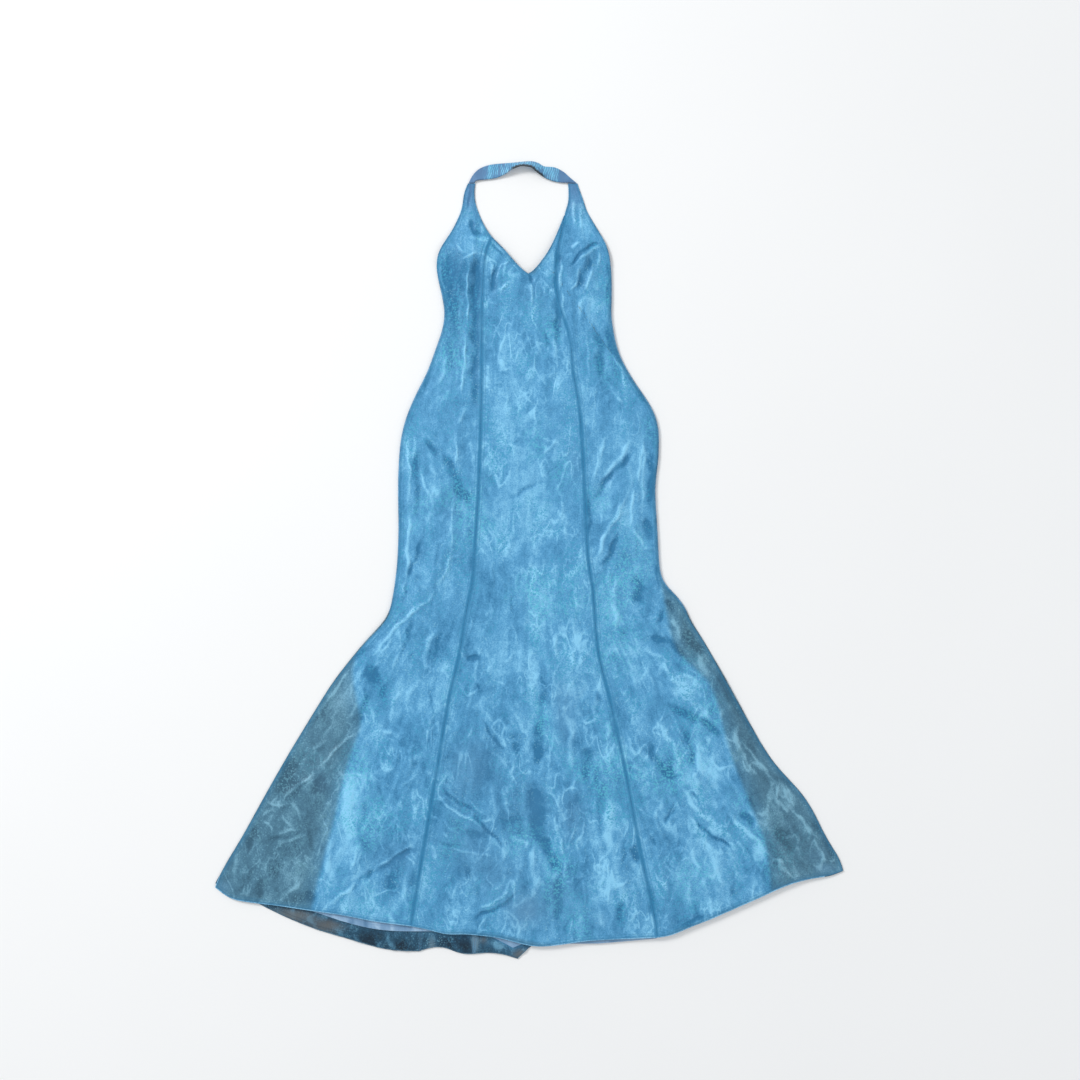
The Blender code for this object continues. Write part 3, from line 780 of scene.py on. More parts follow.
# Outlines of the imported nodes


class Footprint:
    """Outline of one or more nodes as seen from above, for distances in millimetres."""

    def __init__(self, nodes: Iterable[bpy.types.Object]) -> None:
        """Reads the outline.

        Args:
            nodes: The nodes that it covers.
        """
        corners: list[tuple[float, float, float]] = []
        tops: list[tuple[int, ...]] = []
        walls: list[tuple[int, ...]] = []
        for node in nodes:
            shape = bmesh.new()
            shape.from_mesh(node.data)
            bmesh.ops.remove_doubles(shape, verts=shape.verts, dist=WELD)
            shape.normal_update()
            for face in shape.faces:
                if face.normal.z > UPPER:
                    start = len(corners)
                    corners += [(v.co.x, v.co.y, 0.0) for v in face.verts]
                    tops.append(tuple(range(start, len(corners))))
            for edge in shape.edges:
                rising = [face.normal.z > UPPER for face in edge.link_faces]
                if any(rising) and not all(rising):
                    a, b = (vert.co for vert in edge.verts)
                    start = len(corners)
                    corners += [(a.x, a.y, -1.0), (b.x, b.y, -1.0), (b.x, b.y, 1.0), (a.x, a.y, 1.0)]
                    walls.append(tuple(range(start, start + 4)))
            shape.free()
        self._area = BVHTree.FromPolygons(corners, tops)
        self._rim = BVHTree.FromPolygons(corners, walls)

    @staticmethod
    def _distances(tree: BVHTree, x: np.ndarray, y: np.ndarray) -> np.ndarray:
        """Distance in millimetres from each point to a tree."""
        pairs = zip((x * MM).tolist(), (y * MM).tolist())
        return np.array([tree.find_nearest(Vector((a, b, 0.0)))[3] for a, b in pairs]) / MM

    def outside(self, x: np.ndarray, y: np.ndarray) -> np.ndarray:
        """Distance outside the outline, 0 within it."""
        return self._distances(self._area, x, y)

    def rim(self, x: np.ndarray, y: np.ndarray) -> np.ndarray:
        """Distance to the outline's edge, from either side."""
        return self._distances(self._rim, x, y)

    def signed(self, x: np.ndarray, y: np.ndarray) -> np.ndarray:
        """Distance to the edge, negative within the outline."""
        edge = self.rim(x, y)
        return np.where(self.outside(x, y) > 0.01, edge, -edge)


@dataclass
class Layers:
    """Outlines of the layers that the pieces measure themselves against."""

    frame: dict

    def __post_init__(self) -> None:
        """Reads every outline once."""
        nodes = self.frame["nodes"]
        self.panels = {name: Footprint([node]) for name, node in nodes.items()}
        self.front = Footprint([nodes[name] for name in FRONTS])
        self.cover = Footprint([nodes[name] for name in (*FRONTS, "lining_front", "lining_back")])


# Finishes


class Graph:
    """A material's node tree, with short ways to add the nodes that cloth needs."""

    def __init__(self, name: str) -> None:
        """Starts a material with one principled shader.

        Args:
            name: The material's name.
        """
        self.material = bpy.data.materials.new(name)
        self.material.use_nodes = True
        self.tree = self.material.node_tree
        self.shader = self.tree.nodes["Principled BSDF"]
        self.place = self.add("ShaderNodeTexCoord").outputs["Object"]

    def add(self, kind: str, **settings: Value) -> bpy.types.Node:
        """Adds a node.

        Args:
            kind: The node's type.
            **settings: Its properties.

        Returns:
            The node.
        """
        node = self.tree.nodes.new(kind)
        for key, value in settings.items():
            setattr(node, key, value)
        return node

    def feed(self, target: Socket, value: Value) -> None:
        """Links a socket to an input, or sets the input to a plain value.

        Args:
            target: The input.
            value: A socket, number or colour.
        """
        if isinstance(value, bpy.types.NodeSocket):
            self.tree.links.new(value, target)
        elif isinstance(value, tuple) and target.type == "RGBA":
            target.default_value = (*value[:3], 1.0)
        else:
            target.default_value = value

    def shade(self, name: str, value: Value) -> None:
        """Sets or links an input of the shader."""
        self.feed(self.shader.inputs[name], value)

    def math(self, operation: str, *values: Value, clamp: bool = False) -> Socket:
        """Takes values through an operation, two at a time from left to right.

        Args:
            operation: The math node's operation.
            *values: Numbers or sockets, or a single one where the operation takes one.
            clamp: Keep the last result within 0 and 1.

        Returns:
            The result.
        """
        result = values[0]
        for other in values[1:] or (0.0,):
            node = self.add("ShaderNodeMath", operation=operation)
            self.feed(node.inputs[0], result)
            self.feed(node.inputs[1], other)
            result = node.outputs[0]
        node.use_clamp = clamp
        return result

    def centred(self, value: Socket, gain: Value) -> Socket:
        """A value around 0.5 turned into one around 0, times a gain."""
        return self.math("MULTIPLY", self.math("SUBTRACT", value, 0.5), gain)

    def scaled(
        self, value: Socket, low: float, high: float, start: float = 0.0, end: float = 1.0
    ) -> Socket:
        """Maps a range smoothly onto another and keeps the result within it.

        Args:
            value: What is mapped.
            low: Start of its range.
            high: End of its range.
            start: Result at low.
            end: Result at high.

        Returns:
            The mapped value.
        """
        node = self.add("ShaderNodeMapRange", interpolation_type="SMOOTHSTEP")
        for place, number in enumerate((value, low, high, start, end)):
            self.feed(node.inputs[place], number)
        return node.outputs[0]

    def axes(self) -> list[Socket]:
        """Places across the dress, up it and above the floor, in metres."""
        parts = self.add("ShaderNodeSeparateXYZ")
        self.feed(parts.inputs[0], self.place)
        return list(parts.outputs)

    def stretched(self, across: float, up: float, turn: float = 0.0) -> Socket:
        """Object coordinates with their own scale in x and y.

        Args:
            across: Scale in x.
            up: Scale in y.
            turn: Turn about z in degrees.

        Returns:
            The coordinates.
        """
        node = self.add("ShaderNodeMapping")
        self.feed(node.inputs["Vector"], self.place)
        node.inputs["Rotation"].default_value = (0.0, 0.0, math.radians(turn))
        node.inputs["Scale"].default_value = (across, up, 1.0)
        return node.outputs[0]

    def flared(self, across: float, up: float, apex: float = 0.22, least: float = 0.3) -> Socket:
        """Coordinates that spread below the hips as the skirt does, for streaks along its drape.

        Args:
            across: Scale across the dress.
            up: Scale down the dress.
            apex: Height that the skirt spreads from, in metres.
            least: Distance below it from which the streaks spread.

        Returns:
            The coordinates.
        """
        x, y, z = self.axes()
        spread = self.math("MAXIMUM", self.math("SUBTRACT", apex, y), least)
        place = self.add("ShaderNodeCombineXYZ")
        self.feed(place.inputs[0], self.math("MULTIPLY", self.math("DIVIDE", x, spread), across))
        self.feed(place.inputs[1], self.math("MULTIPLY", y, up))
        self.feed(place.inputs[2], z)
        return place.outputs[0]

    def noise(self, where: Socket, scale: float, detail: float = 2.0, distortion: float = 0.0) -> Socket:
        """Noise with features of about 1 / scale metres.

        Args:
            where: Coordinates.
            scale: Features a metre.
            detail: Octaves.
            distortion: How much the noise is bent by itself.

        Returns:
            Values around 0.5.
        """
        node = self.add("ShaderNodeTexNoise")
        settings = {"Vector": where, "Scale": scale, "Detail": detail, "Distortion": distortion}
        for name, value in settings.items():
            self.feed(node.inputs[name], value)
        return node.outputs["Fac"]

    def highlight_lines(self, where: Socket, scale: float, breadth: float, distortion: float) -> Socket:
        """Thin looping lines where a noise crosses its middle, used as painted highlights.

        Args:
            where: Coordinates.
            scale: Loops a metre.
            breadth: Breadth of the lines in the noise's own units.
            distortion: How much the loops wander.

        Returns:
            1 on the lines and 0 away from them.
        """
        level = self.noise(where, scale, 1.5, distortion)
        away = self.math("ABSOLUTE", self.math("SUBTRACT", level, 0.5))
        return self.scaled(away, 0.0, breadth, 1.0, 0.0)

    def flakes(self, scale: float, share: float) -> Socket:
        """Glitter flakes at random: 1 on a flake and 0 between flakes.

        Args:
            scale: Cells a metre.
            share: Share of the cells that are flakes.

        Returns:
            The flakes.
        """
        cells = self.add("ShaderNodeTexVoronoi")
        self.feed(cells.inputs["Vector"], self.place)
        self.feed(cells.inputs["Scale"], scale)
        parts = self.add("ShaderNodeSeparateColor")
        self.feed(parts.inputs[0], cells.outputs["Color"])
        return self.scaled(parts.outputs[0], 1.0 - share - 0.04, 1.0 - share + 0.04)

    def attribute(self, name: str) -> Socket:
        """A number stored on the piece's points."""
        return self.add("ShaderNodeAttribute", attribute_name=name).outputs["Fac"]

    def stitching(self, inset: float, reach: float, strength: float) -> Socket:
        """A line of stitches that follows the piece's edge.

        Args:
            inset: Its distance from the edge, in metres.
            reach: How far its colour fades out to either side.
            strength: How strong it is in its middle.

        Returns:
            Its strength at each place.
        """
        away = self.math("ABSOLUTE", self.math("SUBTRACT", self.attribute("to_edge"), inset))
        return self.scaled(away, 0.0003, reach, strength, 0.0)

    def mix(self, share: Value, first: Value, second: Value) -> Socket:
        """Mixes two colours.

        Args:
            share: Share of the second colour.
            first: First colour.
            second: Second colour.

        Returns:
            The mixed colour.
        """
        node = self.add("ShaderNodeMix", data_type="RGBA")
        self.feed(node.inputs["Factor"], share)
        self.feed(node.inputs[6], first)
        self.feed(node.inputs[7], second)
        return node.outputs[2]

    def ramp(self, share: Socket, *stops: tuple[float, Colour]) -> Socket:
        """Colour read from a row of stops.

        Args:
            share: Where to read it.
            *stops: Places and colours.

        Returns:
            The colour.
        """
        node = self.add("ShaderNodeValToRGB")
        elements = node.color_ramp.elements
        while len(elements) < len(stops):
            elements.new(0.5)
        for element, (place, colour) in zip(elements, stops):
            element.position = place
            element.color = (*colour, 1.0)
        self.feed(node.inputs[0], share)
        return node.outputs[0]

    def bump(self, height: Socket, strength: float, depth: float) -> None:
        """Gives the shader a bump from a height.

        Args:
            height: The height, about 0 to 1.
            strength: How much of it shows.
            depth: Depth of a height of 1, in metres.
        """
        node = self.add("ShaderNodeBump")
        for name, value in {"Strength": strength, "Distance": depth, "Height": height}.items():
            self.feed(node.inputs[name], value)
        self.shade("Normal", node.outputs[0])


@dataclass(frozen=True)
class Tones:
    """Shadow, middle and highlight colour of a cloth."""

    deep: Colour
    middle: Colour
    light: Colour

    def stops(self) -> tuple[tuple[float, Colour], ...]:
        """Stops for a colour ramp, from the shadows to the highlights."""
        return ((0.08, self.deep), (0.5, self.middle), (0.92, self.light))


@dataclass(frozen=True)
class Organza:
    """Crinkled glitter organza, whose colour depends on what lies behind it."""

    lined: Tones
    sheer: Tones
    seam: Colour
    # Painted shade along the outline, where the cloth curves away; also the colour of the stitch line
    # near the edge.
    side: Colour
    warm: Colour = srgb(96, 148, 186)
    warm_share: float = 0.55
    violet: Colour = srgb(108, 128, 172)
    flake: Colour = srgb(64, 158, 196)
    sheer_flake: Colour = srgb(96, 150, 172)
    glint: Colour = srgb(92, 196, 216)
    spark: Colour = srgb(150, 216, 238)
    lined_alpha: float = 0.96
    sheer_alpha: float = 0.86
    seam_share: float = 0.8
    seam_reach: float = 0.0052
    contrast: float = 1.0

    def build(self, name: str) -> bpy.types.Material:
        """Makes the material.

        Args:
            name: Its name.

        Returns:
            The material.
        """
        g = Graph(name)
        up = g.axes()[1]
        mottle = g.noise(g.stretched(1.0, 0.6), 17.0, 4.0, 0.5)
        net = g.noise(g.stretched(1.0, 0.8, 20.0), 60.0, 3.0, 0.6)
        streak = g.noise(g.flared(0.6, 0.16), 60.0, 3.0, 0.35)
        grain = g.noise(g.place, 420.0, 1.0)
        broken = g.scaled(g.noise(g.place, 17.0, 3.0), 0.44, 0.66)
        fine_broken = g.scaled(g.noise(g.stretched(0.9, 1.1), 14.0, 3.0), 0.46, 0.66)
        # Painted highlights: thin bright lines along the organza's crinkles, which also shape its bump.
        wide_highlight_lines = g.highlight_lines(g.stretched(1.0, 0.5, -6.0), 26.0, 0.05, 0.5)
        fine_highlight_lines = g.highlight_lines(g.stretched(1.0, 0.55, 10.0), 54.0, 0.07, 0.35)
        fine_highlight_lines = g.math("MULTIPLY", fine_highlight_lines, fine_broken, 0.7)
        highlight_lines = g.math("MAXIMUM", g.math("MULTIPLY", wide_highlight_lines, broken), fine_highlight_lines)
        drape = g.scaled(up, -0.42, 0.1, 0.8 * self.contrast, 0.26 * self.contrast)
        # The tone picks the shadow, middle or highlight colour: random mottle and grain, the painted
        # highlight lines, and the stored tone of painted shade and highlight.
        tone = g.math(
            "ADD",
            g.centred(mottle, 0.75 * self.contrast),
            0.44,
            g.centred(streak, drape),
            g.centred(net, 0.6 * self.contrast),
            g.centred(grain, 0.6),
            g.math("MULTIPLY", highlight_lines, g.attribute("lively"), 0.42),
            g.math("MULTIPLY", g.attribute("tone"), 0.66),
            clamp=True,
        )

        beyond = g.attribute("to_lining")
        outside = g.scaled(beyond, -0.005, 0.007)
        deeper = g.math("MULTIPLY", outside, g.scaled(beyond, 0.0, 0.035, 0.7, 1.0))
        colour = g.mix(deeper, g.ramp(tone, *self.lined.stops()), g.ramp(tone, *self.sheer.stops()))
        glittered = g.scaled(g.noise(g.stretched(1.0, 0.7), 19.0, 3.0), 0.46, 0.64, 0.08, 0.8)
        flakes = g.math("MULTIPLY", g.flakes(430.0, 0.28), glittered)
        clusters = g.scaled(g.noise(g.stretched(1.0, 0.8), 8.0, 3.0), 0.5, 0.68, 0.0, 0.55)
        clusters = g.math("MULTIPLY", clusters, g.scaled(outside, 0.0, 1.0, 1.0, 0.3))
        sparkling = g.scaled(mottle, 0.4, 0.62, 0.08, 0.34)
        seam = g.scaled(g.attribute("to_seam"), 0.35 * self.seam_reach, self.seam_reach, 1.0, 0.0)
        uneven = g.scaled(g.noise(g.place, 16.0, 3.0), 0.36, 0.6, 0.4, 1.0)
        for share, added in (
            (flakes, g.mix(outside, self.flake, self.sheer_flake)),
            (g.math("MULTIPLY", g.flakes(390.0, 0.3), clusters), self.glint),
            (g.math("MULTIPLY", g.flakes(520.0, 0.07), sparkling), self.spark),
            (g.math("MULTIPLY", g.attribute("warm"), self.warm_share), self.warm),
            (g.scaled(up, 0.63, 0.73, 0.0, 0.5), self.violet),
            (g.math("MULTIPLY", seam, uneven, self.seam_share), self.seam),
            # Painted shade near the outline.
            (g.scaled(g.attribute("to_side"), 0.0005, 0.007, 0.6, 0.0), self.side),
            (g.stitching(0.0075, 0.0011, 0.35), self.side),
        ):
            colour = g.mix(share, colour, added)

        g.shade("Base Color", colour)
        g.shade("Roughness", g.scaled(tone, 0.0, 1.0, 0.62, 0.4))
        g.shade("Alpha", g.scaled(outside, 0.0, 1.0, self.lined_alpha, self.sheer_alpha))
        g.shade("Sheen Weight", 0.25)
        g.shade("Sheen Roughness", 0.4)
        g.shade("Specular IOR Level", 0.35)
        weights = ((mottle, 0.8), (streak, 0.4), (highlight_lines, 0.5), (grain, 0.25))
        relief = g.math("ADD", *(g.math("MULTIPLY", part, weight) for part, weight in weights))
        g.bump(relief, 0.45, 0.002)
        return g.material


@dataclass(frozen=True)
class Satin:
    """Smooth pale satin of the lining, with soft creases and a fine warp; its folds lighten and darken
    its colour as painted sheen and painted shade.
    """

    tones: Tones

    def build(self, name: str) -> bpy.types.Material:
        """Makes the material.

        Args:
            name: Its name.

        Returns:
            The material.
        """
        g = Graph(name)
        folds = g.noise(g.stretched(1.0, 0.5), 22.0, 3.0, 0.8)
        warp = g.noise(g.stretched(1.0, 0.05), 900.0, 1.0)
        # The stored tone is painted shade and painted highlight of the lining's creases.
        creased = g.math("MULTIPLY", g.attribute("tone"), 0.4)
        tone = g.math("ADD", g.centred(folds, 1.6), 0.5, g.centred(warp, 0.3), creased, clamp=True)
        colour = g.ramp(tone, *self.tones.stops())
        g.shade("Base Color", g.mix(g.stitching(0.009, 0.001, 0.4), colour, self.tones.deep))
        g.shade("Roughness", g.scaled(tone, 0.0, 1.0, 0.42, 0.28))
        g.shade("Sheen Weight", 0.2)
        g.shade("Specular IOR Level", 0.5)
        g.bump(g.math("ADD", folds, g.math("MULTIPLY", warp, 0.15)), 0.4, 0.003)
        return g.material


@dataclass(frozen=True)
class BandOrganza:
    """Organza of the neck band: violet at both sides, cyan stripes in its gathers, partly painted
    highlights on their ridges, and painted shadow under its lower edge.
    """

    dusk: Colour = srgb(76, 116, 158)
    violet: Colour = srgb(88, 132, 174)
    blue: Colour = srgb(62, 138, 184)
    cyan: Colour = srgb(120, 196, 228)
    shade: Colour = srgb(10, 16, 20)

    def build(self, name: str) -> bpy.types.Material:
        """Makes the material.

        Args:
            name: Its name.

        Returns:
            The material.
        """
        g = Graph(name)
        stripes = g.noise(g.stretched(1.0, 0.25), 190.0, 2.0, 0.3)
        mottle = g.noise(g.place, 45.0, 3.0)
        grain = g.noise(g.place, 480.0, 1.0)
        # Painted highlight on the gather ridges, painted shade between them.
        ridges = g.math("MULTIPLY", g.attribute("tone"), 0.75)
        tone = g.math("ADD", g.centred(stripes, 2.6), 0.42, g.centred(grain, 0.6), ridges, clamp=True)
        gathered = g.ramp(tone, (0.1, self.violet), (0.45, self.blue), (0.85, self.cyan))
        plain = g.ramp(mottle, (0.3, self.dusk), (0.7, self.violet))
        colour = g.mix(g.attribute("gathered"), plain, gathered)
        g.shade("Base Color", g.mix(g.attribute("shade"), colour, self.shade))
        g.shade("Roughness", g.scaled(tone, 0.0, 1.0, 0.6, 0.4))
        g.shade("Sheen Weight", 0.2)
        g.bump(g.math("ADD", stripes, g.math("MULTIPLY", grain, 0.3)), 0.5, 0.0015)
        return g.material


@dataclass(frozen=True)
class RolledEdge:
    """Organza turned over itself and stitched along an edge."""

    deep: Colour
    light: Colour

    def build(self, name: str) -> bpy.types.Material:
        """Makes the material.

        Args:
            name: Its name.

        Returns:
            The material.
        """
        g = Graph(name)
        patches = g.noise(g.place, 34.0, 3.0)
        stitches = g.noise(g.place, 330.0, 1.0)
        tone = g.math("ADD", patches, g.centred(stitches, 0.8), clamp=True)
        g.shade("Base Color", g.ramp(tone, (0.32, self.deep), (0.7, self.light)))
        g.shade("Roughness", g.scaled(tone, 0.3, 0.7, 0.6, 0.45))
        g.shade("Sheen Weight", 0.15)
        g.bump(stitches, 0.4, 0.0008)
        return g.material


@dataclass(frozen=True)
class PaleFloor:
    """The plain pale floor, with a trace of unevenness."""

    colour: Colour = (0.93, 0.93, 0.92)
    dimming: float = 0.985

    def build(self, name: str) -> bpy.types.Material:
        """Makes the material.

        Args:
            name: Its name.

        Returns:
            The material.
        """
        g = Graph(name)
        dimmer = tuple(self.dimming * value for value in self.colour)
        g.shade("Base Color", g.ramp(g.noise(g.place, 1.5, 2.0), (0.3, dimmer), (0.7, self.colour)))
        g.shade("Roughness", 0.9)
        return g.material


# Modelling


def pick(obj: bpy.types.Object) -> None:
    """Deselects everything and selects one object, ready for operators."""
    bpy.ops.object.select_all(action="DESELECT")
    obj.select_set(True)
    bpy.context.view_layer.objects.active = obj


def copy_of(source: bpy.types.Object, name: str) -> bpy.types.Object:
    """Adds a copy of an object with a mesh of its own, and picks it.

    Args:
        source: The object.
        name: The copy's name.

    Returns:
        The copy.
    """
    piece = bpy.data.objects.new(name, source.data.copy())
    piece.data.materials.clear()
    bpy.context.scene.collection.objects.link(piece)
    pick(piece)
    return piece


def apply_modifier(obj: bpy.types.Object, modifier: bpy.types.Modifier) -> None:
    """Applies one modifier of an object."""
    pick(obj)
    bpy.ops.object.modifier_apply(modifier=modifier.name)


def points_of(obj: bpy.types.Object) -> np.ndarray:
    """The object's points as rows of three numbers, in millimetres."""
    flat = np.empty(len(obj.data.vertices) * 3)
    obj.data.vertices.foreach_get("co", flat)
    return flat.reshape(-1, 3) / MM


def store(piece: bpy.types.Object, points: np.ndarray, **values: np.ndarray) -> None:
    """Moves a piece's points and stores numbers on them for its finish to read.

    Args:
        piece: The piece.
        points: Rows of three numbers, in millimetres.
        **values: A number for each point, by the name that the finish reads.
    """
    piece.data.vertices.foreach_set("co", (points * MM).ravel())
    piece.data.update()
    for name, numbers in values.items():
        layer = piece.data.attributes.new(name, "FLOAT", "POINT")
        layer.data.foreach_set("value", numbers.astype(np.float32))


def turn_flat_triangles(shape: bmesh.types.BMesh) -> None:
    """Turns the long edge of each triangle whose corners lie on one line.

    Args:
        shape: A surface of triangles, changed in place.
    """
    for _ in range(3):
        for face in list(shape.faces):
            if not face.is_valid:
                continue
            longest = max(face.edges, key=lambda edge: edge.calc_length())
            if face.calc_area() > FLAT_SHARE * longest.calc_length() ** 2:
                continue
            if len(longest.link_faces) == 2:
                bmesh.utils.edge_rotate(longest, True)
            elif len(longest.link_faces) == 1:
                shape.edges.remove(longest)


class Cut(NamedTuple):
    """Flat cut of a piece, in metres, and what the piece lies on."""

    width: float
    length: float
    area: float
    rests_on: tuple[str, ...]


@dataclass
class Cloth:
    """What the cloth pieces share: a shell on a node, its thickness and declaration."""

    frame: dict
    layers: Layers
    slot: str = ""
    held: str = "laid"
    cuts: dict[str, Cut] = field(default_factory=dict)
    spacing: float = 6.0
    thickness: float = 0.6
    levels: int = 2
    corner_angle: float = math.radians(38)
    smooth_angle: float = math.radians(55)

    def build(self, finish: bpy.types.Material) -> None:
        """Builds each piece of the cut.

        Args:
            finish: Their material.
        """
        for node, cut in self.cuts.items():
            piece = self.surface(node)
            self.dress(piece, node)
            self.thicken(piece, finish)
            self.declare(piece, node)

    def dress(self, piece: bpy.types.Object, node: str) -> None:
        """Shapes a surface and stores what its finish reads, in each cloth's own way."""
        raise NotImplementedError

    def surface(self, node: str) -> bpy.types.Object:
        """Copies the upper faces of a node and rounds them with a subdivision surface.

        Args:
            node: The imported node.

        Returns:
            The new piece, as an open surface.
        """
        piece = copy_of(self.frame["nodes"][node], f"{node}_cloth")
        if piece.data.has_custom_normals:
            bpy.ops.mesh.customdata_custom_splitnormals_clear()
        bpy.ops.object.mode_set(mode="EDIT")
        bpy.ops.mesh.select_all(action="SELECT")
        bpy.ops.mesh.remove_doubles(threshold=WELD)
        shape = bmesh.from_edit_mesh(piece.data)
        shape.normal_update()
        for face in shape.faces:
            face.select_set(face.normal.z <= UPPER)
        bmesh.update_edit_mesh(piece.data)
        bpy.ops.mesh.delete(type="FACE")
        bpy.ops.mesh.select_all(action="SELECT")
        bpy.ops.mesh.tris_convert_to_quads(face_threshold=math.pi, shape_threshold=math.radians(110))
        bpy.ops.mesh.select_all(action="DESELECT")
        bpy.ops.object.mode_set(mode="OBJECT")
        rounding = piece.modifiers.new("rounding", "SUBSURF")
        rounding.levels = self.levels
        rounding.render_levels = self.levels
        rounding.boundary_smooth = "PRESERVE_CORNERS"
        self.keep_corners(piece)
        apply_modifier(piece, rounding)
        self.refine(piece)
        return piece

    def keep_corners(self, piece: bpy.types.Object) -> None:
        """Marks the corners of a surface's outline, so that the rounding leaves them sharp.

        Args:
            piece: The open surface, before its rounding.
        """
        shape = bmesh.new()
        shape.from_mesh(piece.data)
        layer = shape.verts.layers.float.new("crease_vert")
        for vert in shape.verts:
            rim = [edge for edge in vert.link_edges if edge.is_boundary]
            if len(rim) != 2:
                continue
            ways = [(edge.other_vert(vert).co - vert.co).normalized() for edge in rim]
            if math.pi - ways[0].angle(ways[1]) > self.corner_angle:
                vert[layer] = 1.0
        shape.to_mesh(piece.data)
        shape.free()

    def refine(self, piece: bpy.types.Object) -> None:
        """Subdivides edges until none is much longer than the spacing.

        Args:
            piece: The open surface.
        """
        pick(piece)
        bpy.ops.object.mode_set(mode="EDIT")
        bpy.ops.mesh.select_mode(type="EDGE")
        for _ in range(3):
            bpy.ops.mesh.select_all(action="DESELECT")
            shape = bmesh.from_edit_mesh(piece.data)
            long_edges = [edge for edge in shape.edges if edge.calc_length() > self.spacing * MM]
            if not long_edges:
                break
            for edge in long_edges:
                edge.select_set(True)
            bmesh.update_edit_mesh(piece.data)
            bpy.ops.mesh.subdivide(number_cuts=1)
            bpy.ops.mesh.select_all(action="SELECT")
            bpy.ops.mesh.quads_convert_to_tris(quad_method="BEAUTY", ngon_method="BEAUTY")
            shape = bmesh.from_edit_mesh(piece.data)
            turn_flat_triangles(shape)
            bmesh.update_edit_mesh(piece.data)
        bpy.ops.mesh.select_mode(type="VERT")
        bpy.ops.mesh.select_all(action="DESELECT")
        bpy.ops.object.mode_set(mode="OBJECT")

    def thicken(self, piece: bpy.types.Object, finish: bpy.types.Material) -> None:
        """Gives a surface its thickness and its material.

        Args:
            piece: The open surface.
            finish: The material.
        """
        piece.data.materials.append(finish)
        wall = piece.modifiers.new("wall", "SOLIDIFY")
        wall.thickness = self.thickness * MM
        wall.offset = -1.0
        apply_modifier(piece, wall)
        pick(piece)
        bpy.ops.object.shade_smooth_by_angle(angle=self.smooth_angle)

    def declare(self, piece: bpy.types.Object, node: str) -> None:
        """Attaches a piece to the body that it rides on and hides the node that it stands for.

        Args:
            piece: The finished piece.
            node: The node that it stands for.
        """
        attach(piece, BODY)
        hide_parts(node)
        LOG.info("%s: %d faces", piece.name, len(piece.data.polygons))

    def to_seam(self, node: str, x: np.ndarray, y: np.ndarray) -> np.ndarray:
        """Distance from places on a panel to the panels that it is sewn to.

        Args:
            node: The panel's node.
            x: Places across the dress, in millimetres.
            y: Places up the dress, in millimetres.

        Returns:
            Distances in millimetres.
        """
        names = list(self.cuts)
        place = names.index(node)
        sewn = names[max(place - 1, 0) : place] + names[place + 1 : place + 2]
        return np.min([self.layers.panels[name].outside(x, y) for name in sewn], axis=0)


@dataclass
class FrontPanels(Cloth):
    """The three organza panels of the front, which meet at the princess seams."""

    slot: str = "organza_front"
    cuts: dict[str, Cut] = field(
        default_factory=lambda: {
            "side_front_left": Cut(0.524, 1.408, 0.251, ("lining_front_cloth",)),
            "centre_front": Cut(0.467, 1.388, 0.348, ("lining_front_cloth",)),
            "side_front_right": Cut(0.545, 1.429, 0.249, ("lining_front_cloth",)),
        }
    )
    spacing: float = 5.2
    clearance: float = 0.5
    relief: float = 1.15
    calm_edge: float = 12.0
    edge_relief: float = 0.25
    seam_ridge: float = 0.35
    back_top: float = 1.2
    lining_top: float = 4.2
    lining_margin: float = 8.0
    strap_start: float = 578.0
    strap_lift: float = 0.1
    lined_above: float = 560.0
    left_cover: float = 60.0
    left_cover_from: float = -330.0
    left_cover_to: float = -190.0
    scatters: tuple[Scatter, ...] = (
        Scatter(11, 40, -120.0, 560.0, 230.0),
        Scatter(23, 130, -690.0, -120.0, 560.0),
    )

    def creases(self) -> tuple[Crease, ...]:
        """All the creases of the front: the placed ones and the small scattered ones."""
        placed = BODICE_CREASES + HIP_CREASES + LEFT_SKIRT_CREASES
        placed += CENTRE_SKIRT_CREASES + RIGHT_SKIRT_CREASES
        return sum((scatter.creases() for scatter in self.scatters), placed)

    def dress(self, piece: bpy.types.Object, node: str) -> None:
        """Adds creases and crinkle to a panel and stores its distances and tones.

        Args:
            piece: The open surface.
            node: Its node.
        """
        points = points_of(piece)
        x, y = points[:, 0], points[:, 1]
        seam = self.to_seam(node, x, y)
        edge = self.layers.panels[node].rim(x, y)
        outline = self.layers.front.rim(x, y)
        lining = self.layers.panels["lining_front"].signed(x, y)
        creased, tone = sum_creases(self.creases(), x, y)
        patched, warm = sum_patches(FRONT_PATCHES, x, y)
        calm = smooth_step(edge, 0.0, self.calm_edge)
        height = self.relief * creased + crinkle(x, y, 5.0)
        height *= self.edge_relief + (1.0 - self.edge_relief) * calm
        height += self.seam_ridge * (1.0 - smooth_step(seam, 5.0, 8.0)) * smooth_step(seam, 0.2, 2.0)
        under = np.where(lining > self.lining_margin, self.back_top, self.lining_top)
        lowest = np.where(y > self.strap_start, self.strap_lift, under + self.clearance)
        points[:, 2] = np.maximum(points[:, 2] + height, lowest + self.thickness)
        covered = smooth_step(y, self.left_cover_from, self.left_cover_to) * (x < 0.0)
        lining -= self.left_cover * covered
        # How strongly the painted highlight lines show on this panel.
        lively = 1.0 if node == "centre_front" else 0.4 + 0.5 * smooth_step(-y, 120.0, 300.0)
        # The stored tone is painted shade and painted highlight from the creases and patches.
        store(
            piece,
            points,
            tone=np.clip(tone + patched, -TONE_LIMIT, TONE_LIMIT),
            warm=np.clip(warm, 0.0, 1.0),
            to_seam=seam * MM,
            to_side=outline * MM,
            to_edge=outline * MM,
            to_lining=np.where(y > self.lined_above, -FAR, lining) * MM,
            lively=lively * np.ones(len(x)),
        )


